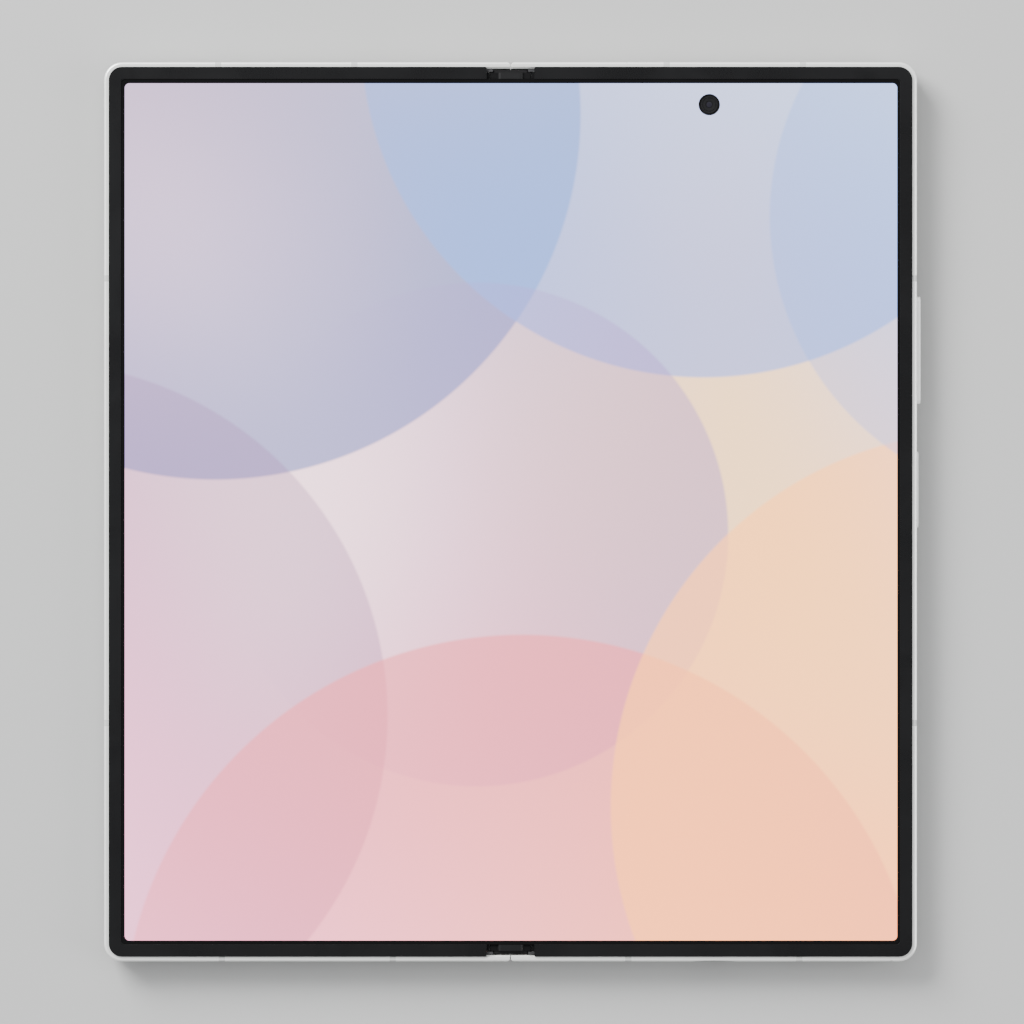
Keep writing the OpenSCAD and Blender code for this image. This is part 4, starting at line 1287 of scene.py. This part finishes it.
@dataclass
class Cameras:
    """Lens faces on both sides and the flash window.

    Attributes:
        rear_x: Distance of the rear cameras from the seam.
        rear_ys: Their heights on the phone.
        rear_lens_rs: Radii of their front lenses.
        rear_dome: Height of a front lens at its middle and how much higher its rim lies.
        dome_steps: Where the dome has points, as shares of the lens's radius.
        rear_rings: Profile of the rings round a front lens, from its edge outwards.
        rear_step: Profile of the step half way from there to the rim.
        rear_rim: Profile of the rim round each lens.
        inner_at: Place of the inner camera.
        inner_profile: Profile of its lens and rings.
        inner_lens_r: Radius of the part that is lens.
        flash_at: Place of the flash.
        flash_profile: Profile of its stepped window.
    """

    rear_x: float = 58.4
    rear_ys: tuple[float, float, float] = (28.8, 47.4, 66.0)
    rear_lens_rs: tuple[float, float, float] = (1.9, 2.7, 1.6)
    rear_dome: Point = (0.3, 0.14)
    dome_steps: tuple[float, ...] = (0.0, 0.2, 0.4, 0.6, 0.8, 0.95)
    rear_rings: tuple[Point, ...] = ((0.0, 0.58), (0.1, 0.6), (0.12, 0.52), (0.55, 0.5), (0.6, 0.45))
    rear_step: tuple[Point, ...] = ((0.0, 0.44), (0.05, 0.38))
    rear_rim: tuple[Point, ...] = (
        (5.25, 0.33), (5.3, 0.27), (5.7, 0.25), (5.9, 0.27), (5.98, 0.34), (5.98, 0.65), (0.0, 0.65))
    inner_at: Point = (35.0, 71.7)
    inner_profile: tuple[Point, ...] = (
        (0.0, 5.8), (0.3, 5.79), (0.5, 5.76), (0.54, 5.7), (0.62, 5.7), (0.66, 5.78), (1.1, 5.8),
        (1.14, 5.74), (1.22, 5.74), (1.26, 5.8), (1.5, 5.81), (1.56, 5.62), (1.74, 5.62), (1.8, 5.88),
        (1.86, 5.9), (1.88, 5.87), (1.88, 5.5), (0.0, 5.5))
    inner_lens_r: float = 0.5
    flash_at: Point = (44.0, 66.0)
    flash_profile: tuple[Point, ...] = (
        (0.0, 2.02), (0.3, 2.03), (0.32, 2.1), (0.7, 2.04), (0.72, 2.11), (1.1, 2.04), (1.12, 2.11),
        (1.5, 2.04), (1.55, 2.1), (1.75, 2.1), (1.8, 2.01), (2.15, 2.0), (2.2, 2.03), (2.2, 2.42),
        (2.4, 2.42), (2.4, 3.3), (0.0, 3.3))

    def rear_profile(self, lens: float) -> list[Point]:
        """Draw a rear lens's profile: a domed front lens, stepped rings round it and the rim.

        Args:
            lens: Radius of the front lens.

        Returns:
            The profile of radius and height.
        """
        front, bulge = self.rear_dome
        dome = [(lens * share, front + bulge * share ** 2) for share in self.dome_steps]
        middle = (lens + self.rear_rim[0][0]) / 2
        rings = [(lens + out, z) for out, z in self.rear_rings]
        step = [(middle + out, z) for out, z in self.rear_step]
        return [*dome, *rings, *step, *self.rear_rim]

    def build(self, paint: Paint) -> None:
        """Build the lens faces and the flash window.

        Args:
            paint: The materials.
        """
        looks = [paint.made["camera_black"], paint.made["lens_glass"]]
        rear = Piece("rear_lens_faces")
        for y, lens in zip(self.rear_ys, self.rear_lens_rs):
            rear.lathe(self.rear_profile(lens), (self.rear_x, y))
            rear.tint_inside((self.rear_x, y), lens, 1)
        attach(rear.finish(looks, "lens_glass", ["camera_lens_covers"], even=False), Side.RIGHT.body)
        inner = Piece("inner_lens_face")
        inner.lathe(self.inner_profile, self.inner_at)
        inner.tint_inside(self.inner_at, self.inner_lens_r, 1)
        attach(inner.finish(looks, "lens_glass", ["front_camera_lens"], even=False), Side.RIGHT.body)
        flash = Piece("flash_window")
        flash.lathe(self.flash_profile, self.flash_at)
        looks = [paint.made["flash_lens"]]
        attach(flash.finish(looks, "flash_lens", ["flash_led"], even=False), Side.RIGHT.body)


@dataclass
class Keys:
    """The volume key and the side key, with rounded outer edges and a flange behind the wall.

    Attributes:
        bodies: Each key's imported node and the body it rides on.
        width: Width of a key's outer face.
        straight: Length of the straight stretch that its round ends keep.
        edge_round: How far its outer edge is rounded.
        flange: Thickness of the flange.
        overhang: How far the flange runs past the key's ends.
        flange_round: Radius of the flange's corners.
    """

    bodies: tuple[tuple[str, str], ...] = (("volume_key", "volume_rocker"), ("side_key", "power_key"))
    width: float = 1.9
    straight: float = 0.002
    edge_round: float = 0.24
    flange: float = 0.25
    overhang: float = 0.7
    flange_round: float = 0.1

    def build(self, paint: Paint) -> None:
        """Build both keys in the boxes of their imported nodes.

        Args:
            paint: The materials.
        """
        for node, body in self.bodies:
            low, high = (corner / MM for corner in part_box(node))
            middle, reach = (low + high) / 2, (high - low) / 2
            rise = high.x - low.x
            piece = Piece(f"{node}_cap")
            blocks = ((reach.y - self.overhang, self.width / 2, (self.width - self.straight) / 2, rise),
                      (reach.y, reach.z, self.flange_round, self.flange))
            for half, up, radius, thick in blocks:
                corners = [(half, -up), (half, up), (-half, up), (-half, -up)]
                piece.raise_faces([piece.outline(corners, [radius] * 4, 0.0, segments=10)], thick)
            piece.soften(piece.rim(rise, lambda p: True), self.edge_round, segments=4)
            turned = Matrix(((0.0, 0.0, 1.0), (1.0, 0.0, 0.0), (0.0, 1.0, 0.0))).to_4x4()
            move = Matrix.Translation((low.x, middle.y, middle.z)) @ turned
            bmesh.ops.transform(piece.bm, matrix=move, space=Matrix.Identity(4), verts=piece.bm.verts[:])
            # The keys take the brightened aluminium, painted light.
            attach(piece.finish([paint.key], "frame_aluminium", [node]), body)


# ---------- studio ----------

@dataclass
class Softbox:
    """A square lamp of soft light that faces the middle of the phone.

    Attributes:
        name: The lamp's name.
        place: Where it hangs, in metres.
        size: Its side in metres.
        power: Its power in watts.
    """

    name: str
    place: tuple[float, float, float]
    size: float
    power: float

    def build(self) -> None:
        """Hang the lamp."""
        lamp = bpy.data.lights.new(self.name, "AREA")
        lamp.size = self.size
        lamp.energy = self.power
        thing = bpy.data.objects.new(self.name, lamp)
        thing.location = self.place
        thing.rotation_euler = (-Vector(self.place)).to_track_quat("-Z", "Y").to_euler()
        bpy.context.scene.collection.objects.link(thing)


@dataclass
class Studio:
    """Pale floor, soft lamps and the photograph's camera.

    Attributes:
        floor_size: Side of the floor in metres.
        floor_tone: Colour of the floor.
        floor_rough: Its roughness.
        camera_at: Where the camera hangs over the phone, in millimetres.
        screen_z: Height of the screen, where the view's width is measured.
        view_width: Width of the view there.
        lens: The camera's focal length.
        sensor: Width of its sensor.
        room_tone: Colour of the room light.
        bright_side: Direction from which the room is brightest.
        bright_span: Between which nearnesses to that direction the light rises.
        dim: Strength of the room light on the far side.
        bright: Strength on the bright side.
        overhead: Share of it that comes from straight above.
        overhead_span: Between which heights of its direction the light falls to that share.
        lamps: The lamps.
    """

    floor_size: float = 4.0
    floor_tone: Colour = (0.42, 0.42, 0.415)
    floor_rough: float = 0.9
    camera_at: Point = (0.26, -0.04)
    screen_z: float = 6.0
    view_width: float = 180.3
    lens: float = 200.0
    sensor: float = 36.0
    room_tone: Colour = (0.96, 0.98, 1.0)
    bright_side: tuple[float, float, float] = (-0.46, 0.55, 0.69)
    bright_span: Point = (-0.3, 0.95)
    dim: float = 0.4
    bright: float = 1.5
    overhead: float = 0.3
    overhead_span: Point = (0.86, 0.97)
    lamps: tuple[Softbox, ...] = (
        Softbox("key_lamp", (-0.62, 0.7, 0.68), 0.6, 30.0),
        Softbox("fill_lamp", (0.85, -0.1, 0.5), 0.7, 7.0),
    )

    def build(self) -> None:
        """Build the room."""
        piece = bmesh.new()
        bmesh.ops.create_grid(piece, x_segments=1, y_segments=1, size=self.floor_size / 2)
        mesh = bpy.data.meshes.new("floor")
        piece.to_mesh(mesh)
        piece.free()
        floor = bpy.data.objects.new("floor", mesh)
        bpy.context.scene.collection.objects.link(floor)
        paper, _, shader = start_material("floor_paper")
        shader.inputs["Base Color"].default_value = (*self.floor_tone, 1.0)
        shader.inputs["Roughness"].default_value = self.floor_rough
        mesh.materials.append(paper)
        for lamp in self.lamps:
            lamp.build()
        self.build_room_light()
        self.build_camera()

    def build_room_light(self) -> None:
        """Light the room softly, more from the key lamp's side and less from straight above."""
        world = bpy.data.worlds.new("studio")
        world.use_nodes = True
        graph = Graph(world.node_tree)
        background = world.node_tree.nodes["Background"]
        direction = graph.add("ShaderNodeTexCoord").outputs["Generated"]
        towards = graph.vector("DOT_PRODUCT", direction, self.bright_side)
        glow = graph.span(towards, *self.bright_span, self.dim, self.bright)
        flag = graph.span(graph.parts(direction)[2], *self.overhead_span, 1.0, self.overhead)
        background.inputs["Color"].default_value = (*self.room_tone, 1.0)
        graph.feed(background.inputs["Strength"], graph.calc("MULTIPLY", glow, flag))
        bpy.context.scene.world = world

    def build_camera(self) -> None:
        """Hang the camera straight over the open screen."""
        data = bpy.data.cameras.new("photo_camera")
        data.lens = self.lens
        data.sensor_width = self.sensor
        data.clip_start = 0.01
        camera = bpy.data.objects.new("photo_camera", data)
        away = self.view_width * self.lens / self.sensor + self.screen_z
        camera.location = (self.camera_at[0] * MM, self.camera_at[1] * MM, away * MM)
        bpy.context.scene.collection.objects.link(camera)
        bpy.context.scene.camera = camera


def main() -> None:
    """Build the phone's looks and the studio."""
    logging.basicConfig(level=logging.INFO, format="%(name)s: %(message)s")
    paint = Paint()
    paint.dress_frame()
    for assembly in (Bezels(), HingeEnds(), InnerScreen(), HingeCable(), Cameras(), Keys()):
        assembly.build(paint)
    Studio().build()


if __name__ == "__main__":
    main()
